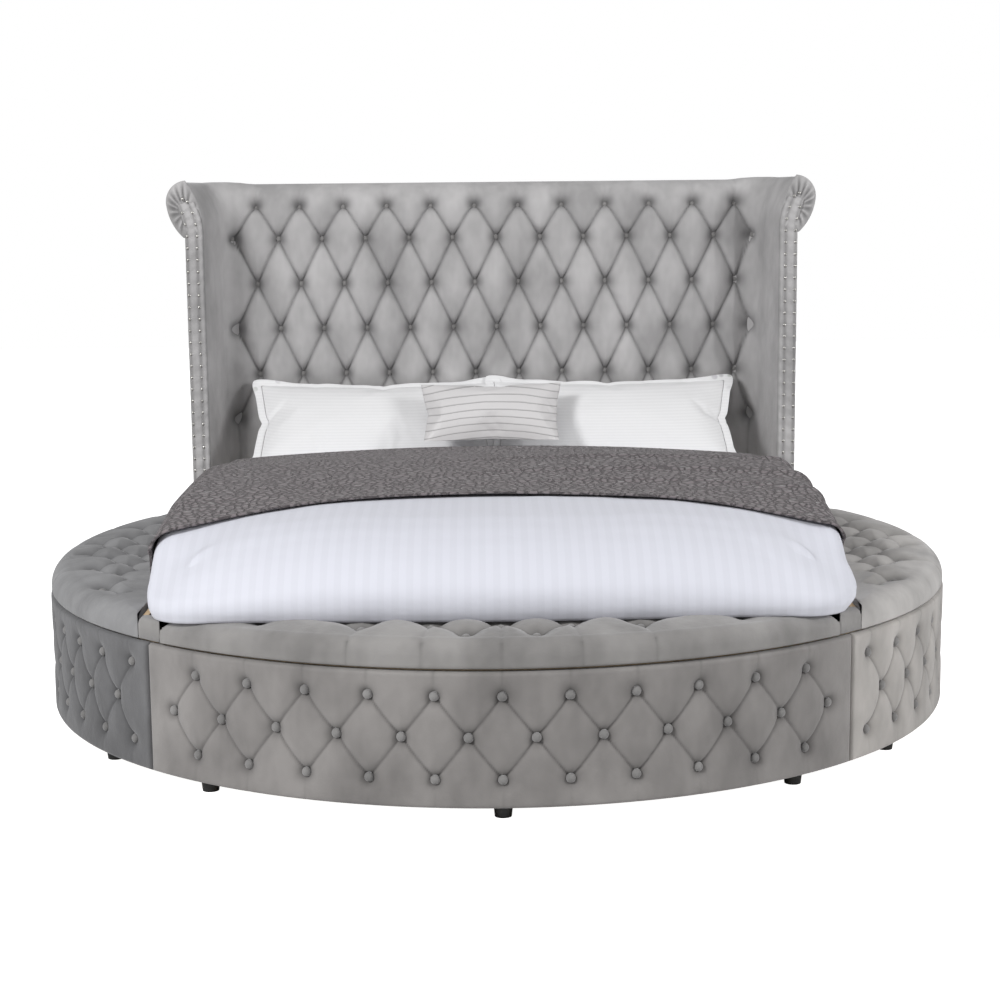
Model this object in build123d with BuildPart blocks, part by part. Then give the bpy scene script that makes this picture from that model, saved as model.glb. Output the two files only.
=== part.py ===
from build123d import *

import os
from math import acos, asin, cos, degrees, radians, sin, sqrt

# Round storage bed: a ring of three tufted benches with lift-up lids about a queen mattress,
# a tufted scroll-top headboard with nailed wings, and its bedding.
# Frame: +Z up, origin on the floor at the centre of the round base, foot of the bed towards -Y.
# All sizes in millimetres.

# Round base
base_radius = 1270.0
foot_height = 30.0
lid_line = 358.0
front_ply = 12.0
front_padding = 26.0
floor_ply = 12.0
cover_top_drop = 6.0
seam_gap = 0.5

# Clearances between pieces
fit_gap = 0.3
soft_gap = 1.0
overrun = 20.0

# Mattress and its pocket
mattress_width = 1524.0
mattress_length = 2032.0
mattress_thickness = 280.0
mattress_corner = 60.0
mattress_edge = 25.0
slat_top = 290.0
pocket_side_gap = 101.0
pocket_foot_gap = 8.0
mattress_head_gap = 4.0

# Rails round the pocket
rail_thickness = 14.0
side_rail_head_gap = 62.0
corner_post_depth = 26.0
corner_cap_height = 402.0
corner_cap_edge = 24.0

# Lids
lid_board_ply = 16.0
lid_set = 8.0
lid_board_overlap = 4.0
side_hinge_height = 412.0
foot_hinge_height = 412.0
lid_back_rise = 8.0
side_lid_crest = 430.0
side_lid_crest_set = 70.0
side_lid_face = 372.0
foot_lid_crest = 440.0
foot_lid_crest_set = 30.0
foot_lid_face = 398.0
foot_lid_end_crest = 408.0
lid_tail_gap = 18.0

# Hinges
knuckle_radius = 4.0
pin_radius = 2.0
pin_play = 0.1
leaf_thickness = 1.5
leaf_height = 50.0
hinge_length = 120.0
knuckle_count = 5
knuckle_gap = 0.5
hinge_spacing = 520.0
hinge_count = 3

# Tufting
button_radius = 12.0
button_height = 7.0
button_edge = 3.0
button_count_per_half_row = 5
foot_tuft_spans = 6.03
side_tuft_first_gap = 3.5
side_tuft_last_gap = 1.9
side_tuft_columns = 14
front_row_heights = (293.0, 196.0, 97.0)
front_dimple_radius = 26.0
front_dimple_depth = 15.0
lid_first_row = 81.0
lid_row_pitch = 73.0
lid_button_pitch = 163.0
lid_dimple_radius = 30.0
lid_dimple_depth = 20.0
lid_fold_half_width = 12.0
lid_fold_depth = 10.0
lid_tuft_margin = 56.0

# Feet and the support under the mattress
foot_radius = 23.0
foot_tip_radius = 20.0
foot_ring_inset = 54.0
foot_angles = (0.0, 35.5, 54.5, 90.0, 120.0)
wing_foot_in = 20.0
wing_foot_back = 60.0
core_foot_share = 0.71
slat_width = 68.0
slat_thickness = 18.0
slat_count = 13
slat_end_margin = 100.0
ledger_front_gap = 6.0
ledger_width = 30.0
ledger_height = 40.0
beam_width = 44.0
beam_height = 60.0
leg_radius = 22.0
leg_pad_radius = 26.0
leg_pad_height = 8.0
leg_spacing = 620.0
bracket_thickness = 3.0
bracket_reach = 96.0
bracket_flange = 60.0
bracket_height = 120.0
bracket_bottom = 110.0
bolt_radius = 4.0
bolt_head_radius = 8.0
bolt_head_height = 5.0
bolt_length = 16.0
bolt_play = 0.3
bolt_height_shares = (0.25, 0.75)

# Headboard
headboard_pad = 38.0
headboard_core_ply = 18.0
headboard_overlap = 35.0
headboard_bottom = 30.0
pad_bottom = 296.0
core_top = 1326.0
head_rows = (1410.0, 1289.0, 1137.0, 982.0, 827.0, 673.0)
head_columns = 6
head_end_inset = 13.0
head_dimple_radius = 30.0
head_dimple_depth = 20.0
head_fold_half_width = 12.0
head_fold_depth = 10.0
roll_top = 1462.0
roll_start = 1385.0
roll_crest_depth = 82.0
roll_depth = 157.7
roll_under = 1322.0
roll_under_depth = 108.0
roll_lean = 30.0
roll_end_reach = 58.0
back_cover = 10.0

# Wings beside the headboard
wing_depth = 212.3
wing_behind = 67.7
wing_front_clearance = 54.0
wing_back_clearance = 4.0
wing_thickness = 64.0
wing_board_ply = 18.0
wing_board_inset = 23.0
wing_board_front_inset = 12.0
wing_board_top = 1392.0
wing_flare_start = 1290.0
wing_flare_bulge = (10.0, 105.0)
wing_top = 1485.0
scroll_crest = 58.0
scroll_shoulder = (110.0, 1462.0)
scroll_reach = (131.0, 1405.0)
scroll_under = (108.0, 1345.0)
scroll_return = 1298.0
band_thickness = 4.0
band_low = 300.0
band_edge_gap = 2.0
band_bend = 1290.0
band_inner_bulge = (7.0, 1362.0)
band_inner_end = (32.0, 1424.0)
band_tip = (70.0, 1444.0)
band_outer_end = (86.0, 1404.0)
band_outer_bulge = (66.0, 1340.0)
nail_radius = 5.5
nail_height = 3.0
nail_edge = 2.0
nail_pitch = 39.0
nail_row_outer = 55.0
nail_row_inner = 22.0
nail_low = 330.0
nail_outer_bulge = (58.0, 1350.0)
nail_outer_end = (76.0, 1406.0)
nail_inner_bulge = (27.0, 1360.0)
nail_inner_end = (47.0, 1418.0)
nail_tip = (66.0, 1429.0)

# Bedding
bed_top = 652.0
bed_shoulder = 636.0
shoulder_inset = 74.0
comforter_side_gap = 3.0
comforter_drop = 372.0
comforter_tuck = 14.0
comforter_tuck_top = 440.0
comforter_tuck_low = 424.0
comforter_tuck_front_set = 81.7
comforter_hem = 443.5
comforter_head_gap = 472.3
comforter_back_edge = 26.0
comforter_overhang = 175.3
comforter_front_face = 484.0
comforter_front_knee = (-78.3, 590.0)
comforter_front_top = (171.7, 653.0)
comforter_front_quarter = (220.0, -108.3)
comforter_corner_knee = (60.0, -28.3)
comforter_corner_end = (0.0, 101.7)
throw_gap = 0.5
throw_thickness = 9.0
throw_back_set = 68.0
throw_middle_length = 1062.0
throw_side_length = 1312.0
throw_bottom = 445.0
sham_width = 790.0
sham_height = 490.0
sham_thickness = 170.0
sham_lean = 30.0
sham_spread = 402.0
sham_head_gap = 4.0
accent_width = 437.0
accent_height = 280.0
accent_thickness = 96.0
accent_lean = 36.0
accent_x = -9.0
accent_behind = 52.0
accent_seat_gap = 2.1
pillow_side_pull = 16.0
pillow_depth_shares = (-1.0, -0.55, 0.0, 0.55, 1.0)
pillow_inset_shares = (0.6, 0.16, 0.0, 0.16, 0.6)

# Sizes that follow from the ones above
ply_outer = base_radius - front_padding
ply_inner = ply_outer - front_ply
pocket_half = mattress_width / 2 + pocket_side_gap
lid_radius = base_radius - lid_set
rail_outer = pocket_half + rail_thickness
pocket_foot = -sqrt(base_radius**2 - pocket_half**2)
foot_rail_outer = pocket_foot - rail_thickness
mattress_foot = pocket_foot + pocket_foot_gap
mattress_head = mattress_foot + mattress_length
mattress_top = slat_top + mattress_thickness
pad_front = mattress_head + mattress_head_gap
core_front = pad_front + headboard_pad
core_back = core_front + headboard_core_ply
wall_top = lid_line - fit_gap
cover_top = lid_line - cover_top_drop
hinge_offset = knuckle_radius + fit_gap
side_axis_x = rail_outer + hinge_offset
foot_axis_y = foot_rail_outer - hinge_offset
lid_back_offset = knuckle_radius + fit_gap
side_lid_back = side_axis_x + lid_back_offset
foot_lid_back = foot_axis_y - lid_back_offset
lid_board_radius = ply_outer - lid_board_overlap
lid_board_top = lid_line + lid_board_ply
wing_front_y = pad_front - wing_depth
wing_back_y = pad_front + wing_behind
lid_tail = wing_front_y - lid_tail_gap
headboard_half_width = pocket_half + headboard_overlap
head_button_pitch = headboard_half_width / head_columns
roll_rear = pad_front + roll_depth
roll_end = headboard_half_width + roll_end_reach
wing_inner_front = headboard_half_width + wing_front_clearance
wing_inner_back = headboard_half_width + wing_back_clearance
seam_angle = degrees(asin(pocket_half / base_radius))
tail_angle = degrees(acos(-lid_tail / base_radius))
foot_tuft_angle = seam_angle / foot_tuft_spans
side_tuft_first = seam_angle + side_tuft_first_gap
side_tuft_angle = (tail_angle - side_tuft_last_gap - side_tuft_first) / (side_tuft_columns - 1)
foot_ring_radius = base_radius - foot_ring_inset
comforter_side = pocket_half - comforter_side_gap
comforter_front = pocket_foot - comforter_overhang
comforter_back = pad_front - comforter_head_gap
comforter_tuck_front = pocket_foot + comforter_tuck_front_set
throw_back = comforter_back - throw_back_set
slat_bottom = slat_top - slat_thickness
side_rail_front = -sqrt((ply_inner - fit_gap) ** 2 - rail_outer**2)
side_rail_back = pad_front + headboard_pad - side_rail_head_gap
foot_rail_half = sqrt((ply_inner - fit_gap) ** 2 - foot_rail_outer**2)


def on_ring(radius, angle):
    """Point on a circle about the origin, its angle measured from the foot of the bed."""
    return (radius * sin(radians(angle)), -radius * cos(radians(angle)))


def ring_solid(inner, outer, low, high):
    """A full ring between two radii and two heights, its seam line towards the headboard."""
    with BuildPart() as ring:
        with BuildSketch(Plane(origin=(0, 0, low), x_dir=(0, 1, 0), z_dir=(0, 0, 1))):
            Circle(outer)
            Circle(inner, mode=Mode.SUBTRACT)
        extrude(amount=high - low)
    return ring.part


def disc_solid(radius, low, high):
    """A full disc between two heights."""
    with BuildPart() as disc:
        with BuildSketch(Plane.XY.offset(low)):
            Circle(radius)
        extrude(amount=high - low)
    return disc.part


def box_between(low, high):
    """A box from its lowest to its highest corner."""
    with BuildPart(Plane(low)) as block:
        Box(
            high[0] - low[0],
            high[1] - low[1],
            high[2] - low[2],
            align=(Align.MIN, Align.MIN, Align.MIN),
        )
    return block.part


def dimple_tool(radius, depth):
    """A dimple's cutter: it opens along +Z and ends in a flat seat depth below z = 0."""
    seat = button_radius + fit_gap
    with BuildPart() as dimple:
        with BuildSketch(Plane.XZ):
            with BuildLine():
                Polyline(
                    (0, -depth), (seat, -depth), (radius, 0), (radius, overrun), (0, overrun), close=True
                )
            make_face()
        revolve(axis=Axis.Z)
    return dimple.part


def fold_tool(length, half_width, depth):
    """A fold's cutter: a V groove along X with its mouth at z = 0."""
    share = (depth + overrun) / depth
    with BuildPart() as fold:
        with BuildSketch(Plane.YZ.offset(-length / 2)):
            with BuildLine():
                Polyline(
                    (0, -depth),
                    (half_width * share, overrun),
                    (-half_width * share, overrun),
                    close=True,
                )
            make_face()
        extrude(amount=length)
    return fold.part


def button_solid():
    """A covered button, domed, with its back on z = 0."""
    with BuildPart() as button:
        Cylinder(button_radius, button_height, align=(Align.CENTER, Align.CENTER, Align.MIN))
        chamfer(button.edges().sort_by(Axis.Z)[-1], button_edge)
    return button.part


def placed(solid, planes):
    """Copies of a solid on a list of planes, as one group."""
    with BuildPart() as group:
        with Locations(*[Location(p) for p in planes]):
            add(solid)
    return group.part


def mirrored(solid):
    """The same piece for the other side of the bed."""
    with BuildPart() as other:
        mirror(solid, about=Plane.YZ)
    return other.part


def save(name, solid):
    """Writes one piece under its own name."""
    solid.label = name
    export_step(solid, f"parts/{name}.step")


os.makedirs("parts", exist_ok=True)
one_button = button_solid()


# Tuft places on the curved bench fronts
def front_tuft_angles(first, step, columns):
    """Angles of the outer rows' buttons and of the middle row's."""
    outer = [first + step * i for i in range(columns)]
    middle = [a + step / 2 for a in outer[:-1]]
    return outer, middle


def ring_plane(radius, angle, height):
    """A plane that faces out of the ring, its x along the ring."""
    x, y = on_ring(radius, angle)
    along = Vector(cos(radians(angle)), sin(radians(angle)), 0)
    out = Vector(sin(radians(angle)), -cos(radians(angle)), 0)
    return Plane(origin=(x, y, height), x_dir=along, z_dir=out)


def bench_cover(outer_angles, middle_angles, keep):
    """The padded front of a bench, tufted in diamonds, cut to the bench's own stretch."""
    top, middle, bottom = front_row_heights
    dimples = [ring_plane(base_radius, a, h) for a in outer_angles for h in (top, bottom)]
    dimples += [ring_plane(base_radius, a, middle) for a in middle_angles]
    with BuildPart() as cover:
        add(ring_solid(ply_outer, base_radius, foot_height, cover_top))
        add(keep, mode=Mode.INTERSECT)
        with Locations(*[Location(p) for p in dimples]):
            add(dimple_tool(front_dimple_radius, front_dimple_depth), mode=Mode.SUBTRACT)
    seat_radius = base_radius - front_dimple_depth
    seats = [ring_plane(seat_radius, a, h) for a in outer_angles for h in (top, bottom)]
    seats += [ring_plane(seat_radius, a, middle) for a in middle_angles]
    return cover.part, seats


# Lids, from their radial profile
def crowned_ring(face, crest, crest_set, back_height, back_radius):
    """A ring whose section has an upright face, a rounded edge and a top that falls inwards."""
    crest_radius = lid_radius - crest_set
    with BuildPart() as ring:
        with BuildSketch(Plane.XZ):
            with BuildLine():
                start = (lid_radius, face)
                knee = (
                    lid_radius - crest_set * (1 - cos(radians(45))),
                    face + (crest - face) * sin(radians(45)),
                )
                top = (crest_radius, crest)
                ThreePointArc(start, knee, top)
                Polyline(
                    top,
                    (back_radius, back_height),
                    (back_radius, lid_line),
                    (lid_radius, lid_line),
                    start,
                )
            make_face()
        revolve(axis=Axis.Z)
    return ring.part


def tuft_grid(across_rows, inside):
    """Staggered button places (along, across) that pass the inside test, with their fold lines."""
    count = int(base_radius / lid_button_pitch) + 1
    spots = {}
    for row, across in enumerate(across_rows):
        shift = 0 if row % 2 else lid_button_pitch / 2
        for i in range(-count, count + 1):
            along = i * lid_button_pitch + shift
            if inside(along, across):
                spots[(row, round(along, 3))] = (along, across)
    lines = []
    for (row, key), (along, across) in spots.items():
        for side in (-1, 1):
            other = spots.get((row + 1, round(along + side * lid_button_pitch / 2, 3)))
            if other:
                lines.append(((along, across), other))
    return list(spots.values()), lines


def tufted_lid(body, points, lines, height):
    """Cuts dimples and folds in the top of a lid's padding and gives the buttons' seats."""
    planes = [Plane(origin=(x, y, height)) for x, y in points]
    fold_planes = []
    for (x0, y0), (x1, y1) in lines:
        middle = ((x0 + x1) / 2, (y0 + y1) / 2, height)
        fold_planes.append(Plane(origin=middle, x_dir=(x1 - x0, y1 - y0, 0)))
    run = sqrt((lid_button_pitch / 2) ** 2 + lid_row_pitch**2)
    with BuildPart() as lid:
        add(body)
        with Locations(*[Location(p) for p in fold_planes]):
            add(fold_tool(run, lid_fold_half_width, lid_fold_depth), mode=Mode.SUBTRACT)
        with Locations(*[Location(p) for p in planes]):
            add(dimple_tool(lid_dimple_radius, lid_dimple_depth), mode=Mode.SUBTRACT)
    seats = [Plane(origin=(x, y, height - lid_dimple_depth)) for x, y in points]
    return lid.part, seats


# Ring pieces shared by the three benches
ply_ring = ring_solid(ply_inner, ply_outer, foot_height, wall_top)
seam_x = pocket_half - seam_gap
tall = roll_top
wide = base_radius + overrun
foot_keep = box_between((-seam_x, -wide, 0), (seam_x, 0, tall))
right_keep = box_between((pocket_half + seam_gap, -wide, 0), (wide, lid_tail, tall))

# Foot bench
with BuildPart() as foot_bench_front:
    add(ply_ring)
    add(foot_keep, mode=Mode.INTERSECT)
save("foot_bench_front", foot_bench_front.part)

half_rows = button_count_per_half_row
foot_outer, foot_middle = front_tuft_angles(
    -half_rows * foot_tuft_angle, foot_tuft_angle, 2 * half_rows + 1
)
foot_middle = [foot_middle[0] - foot_tuft_angle] + foot_middle + [foot_middle[-1] + foot_tuft_angle]
foot_cover, foot_seats = bench_cover(foot_outer, foot_middle, foot_keep)
save("foot_bench_cover", foot_cover)
save("foot_bench_buttons", placed(one_button, foot_seats))

with BuildPart() as foot_rail:
    add(
        box_between(
            (-foot_rail_half, foot_rail_outer, foot_height),
            (foot_rail_half, pocket_foot, foot_hinge_height - knuckle_radius),
        )
    )
save("foot_rail", foot_rail.part)

with BuildPart() as foot_bench_floor:
    with BuildSketch(Plane.XY.offset(foot_height)):
        Circle(ply_inner - fit_gap)
        with Locations((0, foot_rail_outer - fit_gap)):
            Rectangle(
                2 * wide, 2 * wide, align=(Align.CENTER, Align.MIN), mode=Mode.SUBTRACT
            )
    extrude(amount=floor_ply)
save("foot_bench_floor", foot_bench_floor.part)

# Steel brackets and bolts between the side rails and the headboard
bracket_inner = pocket_half - fit_gap - bracket_thickness
bolt_heights = [bracket_bottom + bracket_height * share for share in bolt_height_shares]
rail_bolt_y = side_rail_back - bracket_reach / 2
core_bolt_x = bracket_inner - bracket_flange / 2
core_bolt_end = core_front - fit_gap - bracket_thickness


def bolt_planes():
    """Planes with the bolt's head at the origin and its shank along -Z."""
    into_rail = [
        Plane(origin=(bracket_inner, rail_bolt_y, z), z_dir=(-1, 0, 0)) for z in bolt_heights
    ]
    into_core = [
        Plane(origin=(core_bolt_x, core_bolt_end, z), z_dir=(0, -1, 0)) for z in bolt_heights
    ]
    return into_rail + into_core


def bolt_solid(shank, play):
    """A bolt, or with play the hole that it passes."""
    with BuildPart() as bolt:
        Cylinder(bolt_radius + play, shank, align=(Align.CENTER, Align.CENTER, Align.MAX))
        if not play:
            with Locations((0, 0, fit_gap)):
                Cylinder(
                    bolt_head_radius,
                    bolt_head_height,
                    align=(Align.CENTER, Align.CENTER, Align.MIN),
                )
            Cylinder(bolt_radius, fit_gap, align=(Align.CENTER, Align.CENTER, Align.MIN))
    return bolt.part


bolt_holes = placed(bolt_solid(bolt_length, bolt_play), bolt_planes())
with BuildPart() as right_bracket:
    add(
        box_between(
            (bracket_inner, side_rail_back - bracket_reach, bracket_bottom),
            (bracket_inner + bracket_thickness, core_front - fit_gap, bracket_bottom + bracket_height),
        )
    )
    add(
        box_between(
            (bracket_inner - bracket_flange, core_bolt_end, bracket_bottom),
            (bracket_inner, core_front - fit_gap, bracket_bottom + bracket_height),
        )
    )
    add(bolt_holes, mode=Mode.SUBTRACT)
with BuildPart() as rail_brackets:
    add(right_bracket.part)
    mirror(right_bracket.part, about=Plane.YZ)
save("rail_brackets", rail_brackets.part)

with BuildPart() as bracket_bolts:
    right_bolts = placed(bolt_solid(bolt_length, 0), bolt_planes())
    add(right_bolts)
    mirror(right_bolts, about=Plane.YZ)
save("bracket_bolts", bracket_bolts.part)

# Side benches, the right one first and the left one its mirror image
with BuildPart() as right_bench_front:
    add(ply_ring)
    add(right_keep, mode=Mode.INTERSECT)
    add(
        box_between((0, 0, 0), (rail_outer + fit_gap, wide, tall)),
        mode=Mode.SUBTRACT,
    )

side_outer, side_middle = front_tuft_angles(side_tuft_first, side_tuft_angle, side_tuft_columns)
right_cover, right_seats = bench_cover(side_outer, side_middle, right_keep)

with BuildPart() as right_side_rail:
    add(
        box_between(
            (pocket_half, side_rail_front, foot_height),
            (rail_outer, side_rail_back, side_hinge_height - knuckle_radius),
        )
    )
    add(bolt_holes, mode=Mode.SUBTRACT)

with BuildPart() as right_bench_floor:
    with BuildSketch(Plane.XY.offset(foot_height)):
        Circle(ply_inner - fit_gap)
        with Locations((rail_outer + fit_gap, 0)):
            Rectangle(
                2 * wide, 2 * wide, align=(Align.MAX, Align.CENTER), mode=Mode.SUBTRACT
            )
    extrude(amount=floor_ply)

side_pieces = {
    "bench_front": right_bench_front.part,
    "bench_cover": right_cover,
    "bench_buttons": placed(one_button, right_seats),
    "side_rail": right_side_rail.part,
    "bench_floor": right_bench_floor.part,
}
for name, solid in side_pieces.items():
    save(f"right_{name}", solid)
    save(f"left_{name}", mirrored(solid))

# Corner posts where the benches meet, and the padded caps over them
post_radius = ply_inner - fit_gap - corner_post_depth
corner_low_x = foot_rail_half + fit_gap
corner_high_y = side_rail_front - fit_gap
with BuildPart() as right_corner_post:
    add(ring_solid(post_radius, ply_inner - fit_gap, foot_height, cover_top - fit_gap))
    add(
        box_between(
            (corner_low_x, foot_rail_outer, 0),
            (rail_outer, corner_high_y, tall),
        ),
        mode=Mode.INTERSECT,
    )
with BuildPart() as corner_posts:
    add(right_corner_post.part)
    mirror(right_corner_post.part, about=Plane.YZ)
save("corner_posts", corner_posts.part)

with BuildPart() as right_corner_cap:
    add(ring_solid(post_radius, lid_radius, lid_line, corner_cap_height))
    chamfer(
        right_corner_cap.edges().group_by(Axis.Z)[-1].sort_by(SortBy.LENGTH)[-1],
        corner_cap_edge,
    )
    add(
        box_between(
            (corner_low_x, foot_lid_back + soft_gap, 0),
            (side_lid_back - soft_gap, corner_high_y, tall),
        ),
        mode=Mode.INTERSECT,
    )
with BuildPart() as corner_caps:
    add(right_corner_cap.part)
    mirror(right_corner_cap.part, about=Plane.YZ)
save("corner_caps", corner_caps.part)


# Hinges: a fixed leaf with its knuckles and pin, and a lid leaf with bored knuckles
def rod(radius, start, length):
    """A round bar along X."""
    with BuildPart() as bar:
        with BuildSketch(Plane.YZ.offset(start)):
            Circle(radius)
        extrude(amount=length)
    return bar.part


def hinge_half(starts, knuckle, face, back):
    """One leaf, between two distances from the pin, with the knuckles that start where given."""
    with BuildPart() as half:
        for start in starts:
            add(rod(knuckle_radius, start, knuckle))
            add(box_between((start, face, -leaf_height), (start + knuckle, back, 0)))
        add(
            box_between(
                (-hinge_length / 2, face, -leaf_height),
                (hinge_length / 2, back, -knuckle_radius - knuckle_gap),
            )
        )
    return half.part


def hinge_pair(planes):
    """Fixed and lid halves on planes whose x runs along the pin and whose y faces the lid."""
    knuckle = (hinge_length - knuckle_gap * (knuckle_count - 1)) / knuckle_count
    starts = [-hinge_length / 2 + (knuckle + knuckle_gap) * i for i in range(knuckle_count)]
    with BuildPart() as fixed:
        add(hinge_half(starts[::2], knuckle, -hinge_offset, leaf_thickness - hinge_offset))
        add(rod(pin_radius, -hinge_length / 2, hinge_length))
    with BuildPart() as moving:
        add(hinge_half(starts[1::2], knuckle, lid_back_offset - leaf_thickness, lid_back_offset))
        add(
            rod(pin_radius + pin_play, -hinge_length / 2 - overrun, hinge_length + 2 * overrun),
            mode=Mode.SUBTRACT,
        )
    return placed(fixed.part, planes), placed(moving.part, planes)


hinge_places = [hinge_spacing * (i - (hinge_count - 1) / 2) for i in range(hinge_count)]
side_hinge_planes = [
    Plane(origin=(side_axis_x, y, side_hinge_height), x_dir=(0, -1, 0), z_dir=(0, 0, 1))
    for y in hinge_places
]
foot_hinge_planes = [
    Plane(origin=(x, foot_axis_y, foot_hinge_height), x_dir=(-1, 0, 0), z_dir=(0, 0, 1))
    for x in hinge_places
]
foot_fixed, foot_moving = hinge_pair(foot_hinge_planes)
right_fixed, right_moving = hinge_pair(side_hinge_planes)
save("foot_hinges_fixed", foot_fixed)
save("foot_hinges_lid", foot_moving)
save("right_hinges_fixed", right_fixed)
save("right_hinges_lid", right_moving)
save("left_hinges_fixed", mirrored(right_fixed))
save("left_hinges_lid", mirrored(right_moving))

# Foot lid
with BuildPart() as foot_lid_board:
    with BuildSketch(Plane.XY.offset(lid_line)):
        Circle(lid_board_radius)
        with Locations((0, foot_lid_back)):
            Rectangle(
                2 * wide, 2 * wide, align=(Align.CENTER, Align.MIN), mode=Mode.SUBTRACT
            )
    extrude(amount=lid_board_ply)
save("foot_lid_board", foot_lid_board.part)

foot_tip_x = sqrt(lid_radius**2 - foot_lid_back**2)
with BuildPart() as foot_lid_body:
    add(
        crowned_ring(
            foot_lid_face,
            foot_lid_crest,
            foot_lid_crest_set,
            foot_hinge_height + lid_back_rise,
            -foot_lid_back,
        )
    )
    add(
        box_between((-wide, -wide, 0), (wide, foot_lid_back, tall)),
        mode=Mode.INTERSECT,
    )
    with BuildSketch(Plane.XZ.offset(wide)) as end_fall:
        with BuildLine():
            ThreePointArc(
                (-foot_tip_x, foot_lid_end_crest),
                (0, foot_lid_crest + fit_gap),
                (foot_tip_x, foot_lid_end_crest),
            )
            Polyline(
                (foot_tip_x, foot_lid_end_crest),
                (foot_tip_x, 0),
                (-foot_tip_x, 0),
                (-foot_tip_x, foot_lid_end_crest),
            )
        make_face()
    extrude(amount=-wide, mode=Mode.INTERSECT)
    add(disc_solid(lid_board_radius, lid_line - overrun, lid_board_top + fit_gap), mode=Mode.SUBTRACT)

foot_mid_height = (foot_lid_crest + foot_hinge_height + lid_back_rise) / 2
foot_rows = [lid_first_row + lid_row_pitch * i - lid_radius for i in range(3)]
foot_points, foot_lines = tuft_grid(
    foot_rows,
    lambda along, across: sqrt(along**2 + across**2) < lid_radius - lid_tuft_margin,
)
foot_lid_padding, foot_lid_seats = tufted_lid(foot_lid_body.part, foot_points, foot_lines, foot_mid_height)
save("foot_lid_cushion", foot_lid_padding)
save("foot_lid_buttons", placed(one_button, foot_lid_seats))

# Side lids
with BuildPart() as right_lid_board:
    with BuildSketch(Plane.XY.offset(lid_line)):
        Circle(lid_board_radius)
        with Locations((side_lid_back, 0)):
            Rectangle(
                2 * wide, 2 * wide, align=(Align.MAX, Align.CENTER), mode=Mode.SUBTRACT
            )
        with Locations((0, lid_tail)):
            Rectangle(
                2 * wide, wide, align=(Align.CENTER, Align.MIN), mode=Mode.SUBTRACT
            )
    extrude(amount=lid_board_ply)

with BuildPart() as right_lid_body:
    add(
        crowned_ring(
            side_lid_face,
            side_lid_crest,
            side_lid_crest_set,
            side_hinge_height + lid_back_rise,
            side_lid_back,
        )
    )
    add(
        box_between((side_lid_back, -wide, 0), (wide, lid_tail, tall)),
        mode=Mode.INTERSECT,
    )
    add(disc_solid(lid_board_radius, lid_line - overrun, lid_board_top + fit_gap), mode=Mode.SUBTRACT)

side_mid_height = (side_lid_crest + side_hinge_height + lid_back_rise) / 2
side_rows = [lid_radius - lid_first_row - lid_row_pitch * i for i in range(4)]
side_points, side_lines = tuft_grid(
    side_rows,
    lambda along, across: sqrt(along**2 + across**2) < lid_radius - lid_tuft_margin
    and along < lid_tail - lid_tuft_margin,
)
side_points = [(across, along) for along, across in side_points]
side_lines = [((b, a), (d, c)) for (a, b), (c, d) in side_lines]
right_padding, right_lid_seats = tufted_lid(right_lid_body.part, side_points, side_lines, side_mid_height)
lid_pieces = {
    "lid_board": right_lid_board.part,
    "lid_cushion": right_padding,
    "lid_buttons": placed(one_button, right_lid_seats),
}
for name, solid in lid_pieces.items():
    save(f"right_{name}", solid)
    save(f"left_{name}", mirrored(solid))

# Feet under the bench floors
foot_spots = [on_ring(foot_ring_radius, a) for a in foot_angles]
foot_spots += [
    (wing_inner_front + wing_foot_in, wing_front_y + wing_foot_back),
    (headboard_half_width * core_foot_share, (core_front + core_back) / 2),
]
foot_spots = sorted({(side * x, y) for x, y in foot_spots for side in (-1, 1)})
with BuildPart() as one_foot:
    with BuildSketch():
        Circle(foot_tip_radius)
    with BuildSketch(Plane.XY.offset(foot_height - fit_gap)):
        Circle(foot_radius)
    loft(ruled=True)
save("feet", placed(one_foot.part, [Plane(origin=(x, y, 0)) for x, y in foot_spots]))

# Ledgers, slats and the centre beam that carry the mattress
with BuildPart() as ledgers:
    for side in (-1, 1):
        inner = side * (pocket_half - ledger_width)
        outer = side * (pocket_half - fit_gap)
        add(
            box_between(
                (min(inner, outer), side_rail_front + ledger_front_gap, slat_bottom - ledger_height),
                (max(inner, outer), side_rail_back, slat_bottom - fit_gap),
            )
        )
save("slat_ledgers", ledgers.part)

slat_pitch = (mattress_length - 2 * slat_end_margin) / (slat_count - 1)
slat_places = [mattress_foot + slat_end_margin + slat_pitch * i for i in range(slat_count)]
with BuildPart() as slats:
    with Locations(*[(0, y, slat_bottom) for y in slat_places]):
        Box(
            2 * (pocket_half - soft_gap),
            slat_width,
            slat_thickness - fit_gap,
            align=(Align.CENTER, Align.CENTER, Align.MIN),
        )
save("slats", slats.part)

beam_bottom = slat_bottom - beam_height
with BuildPart() as centre_beam:
    add(
        box_between(
            (-beam_width / 2, pocket_foot + fit_gap, beam_bottom),
            (beam_width / 2, core_front - fit_gap, slat_bottom - fit_gap),
        )
    )
save("centre_beam", centre_beam.part)

with BuildPart() as centre_legs:
    with Locations(*[(0, y, 0) for y in (-leg_spacing, 0, leg_spacing)]):
        Cylinder(leg_pad_radius, leg_pad_height, align=(Align.CENTER, Align.CENTER, Align.MIN))
        Cylinder(leg_radius, beam_bottom - fit_gap, align=(Align.CENTER, Align.CENTER, Align.MIN))
save("centre_legs", centre_legs.part)

# Headboard: board, tufted padding that rolls over its top, and a flat back cover
with BuildPart() as headboard_core:
    add(
        box_between(
            (-headboard_half_width, core_front, headboard_bottom),
            (headboard_half_width, core_back, core_top),
        )
    )
    add(bolt_holes, mode=Mode.SUBTRACT)
    mirror(bolt_holes, about=Plane.YZ, mode=Mode.SUBTRACT)
save("headboard_core", headboard_core.part)

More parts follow.
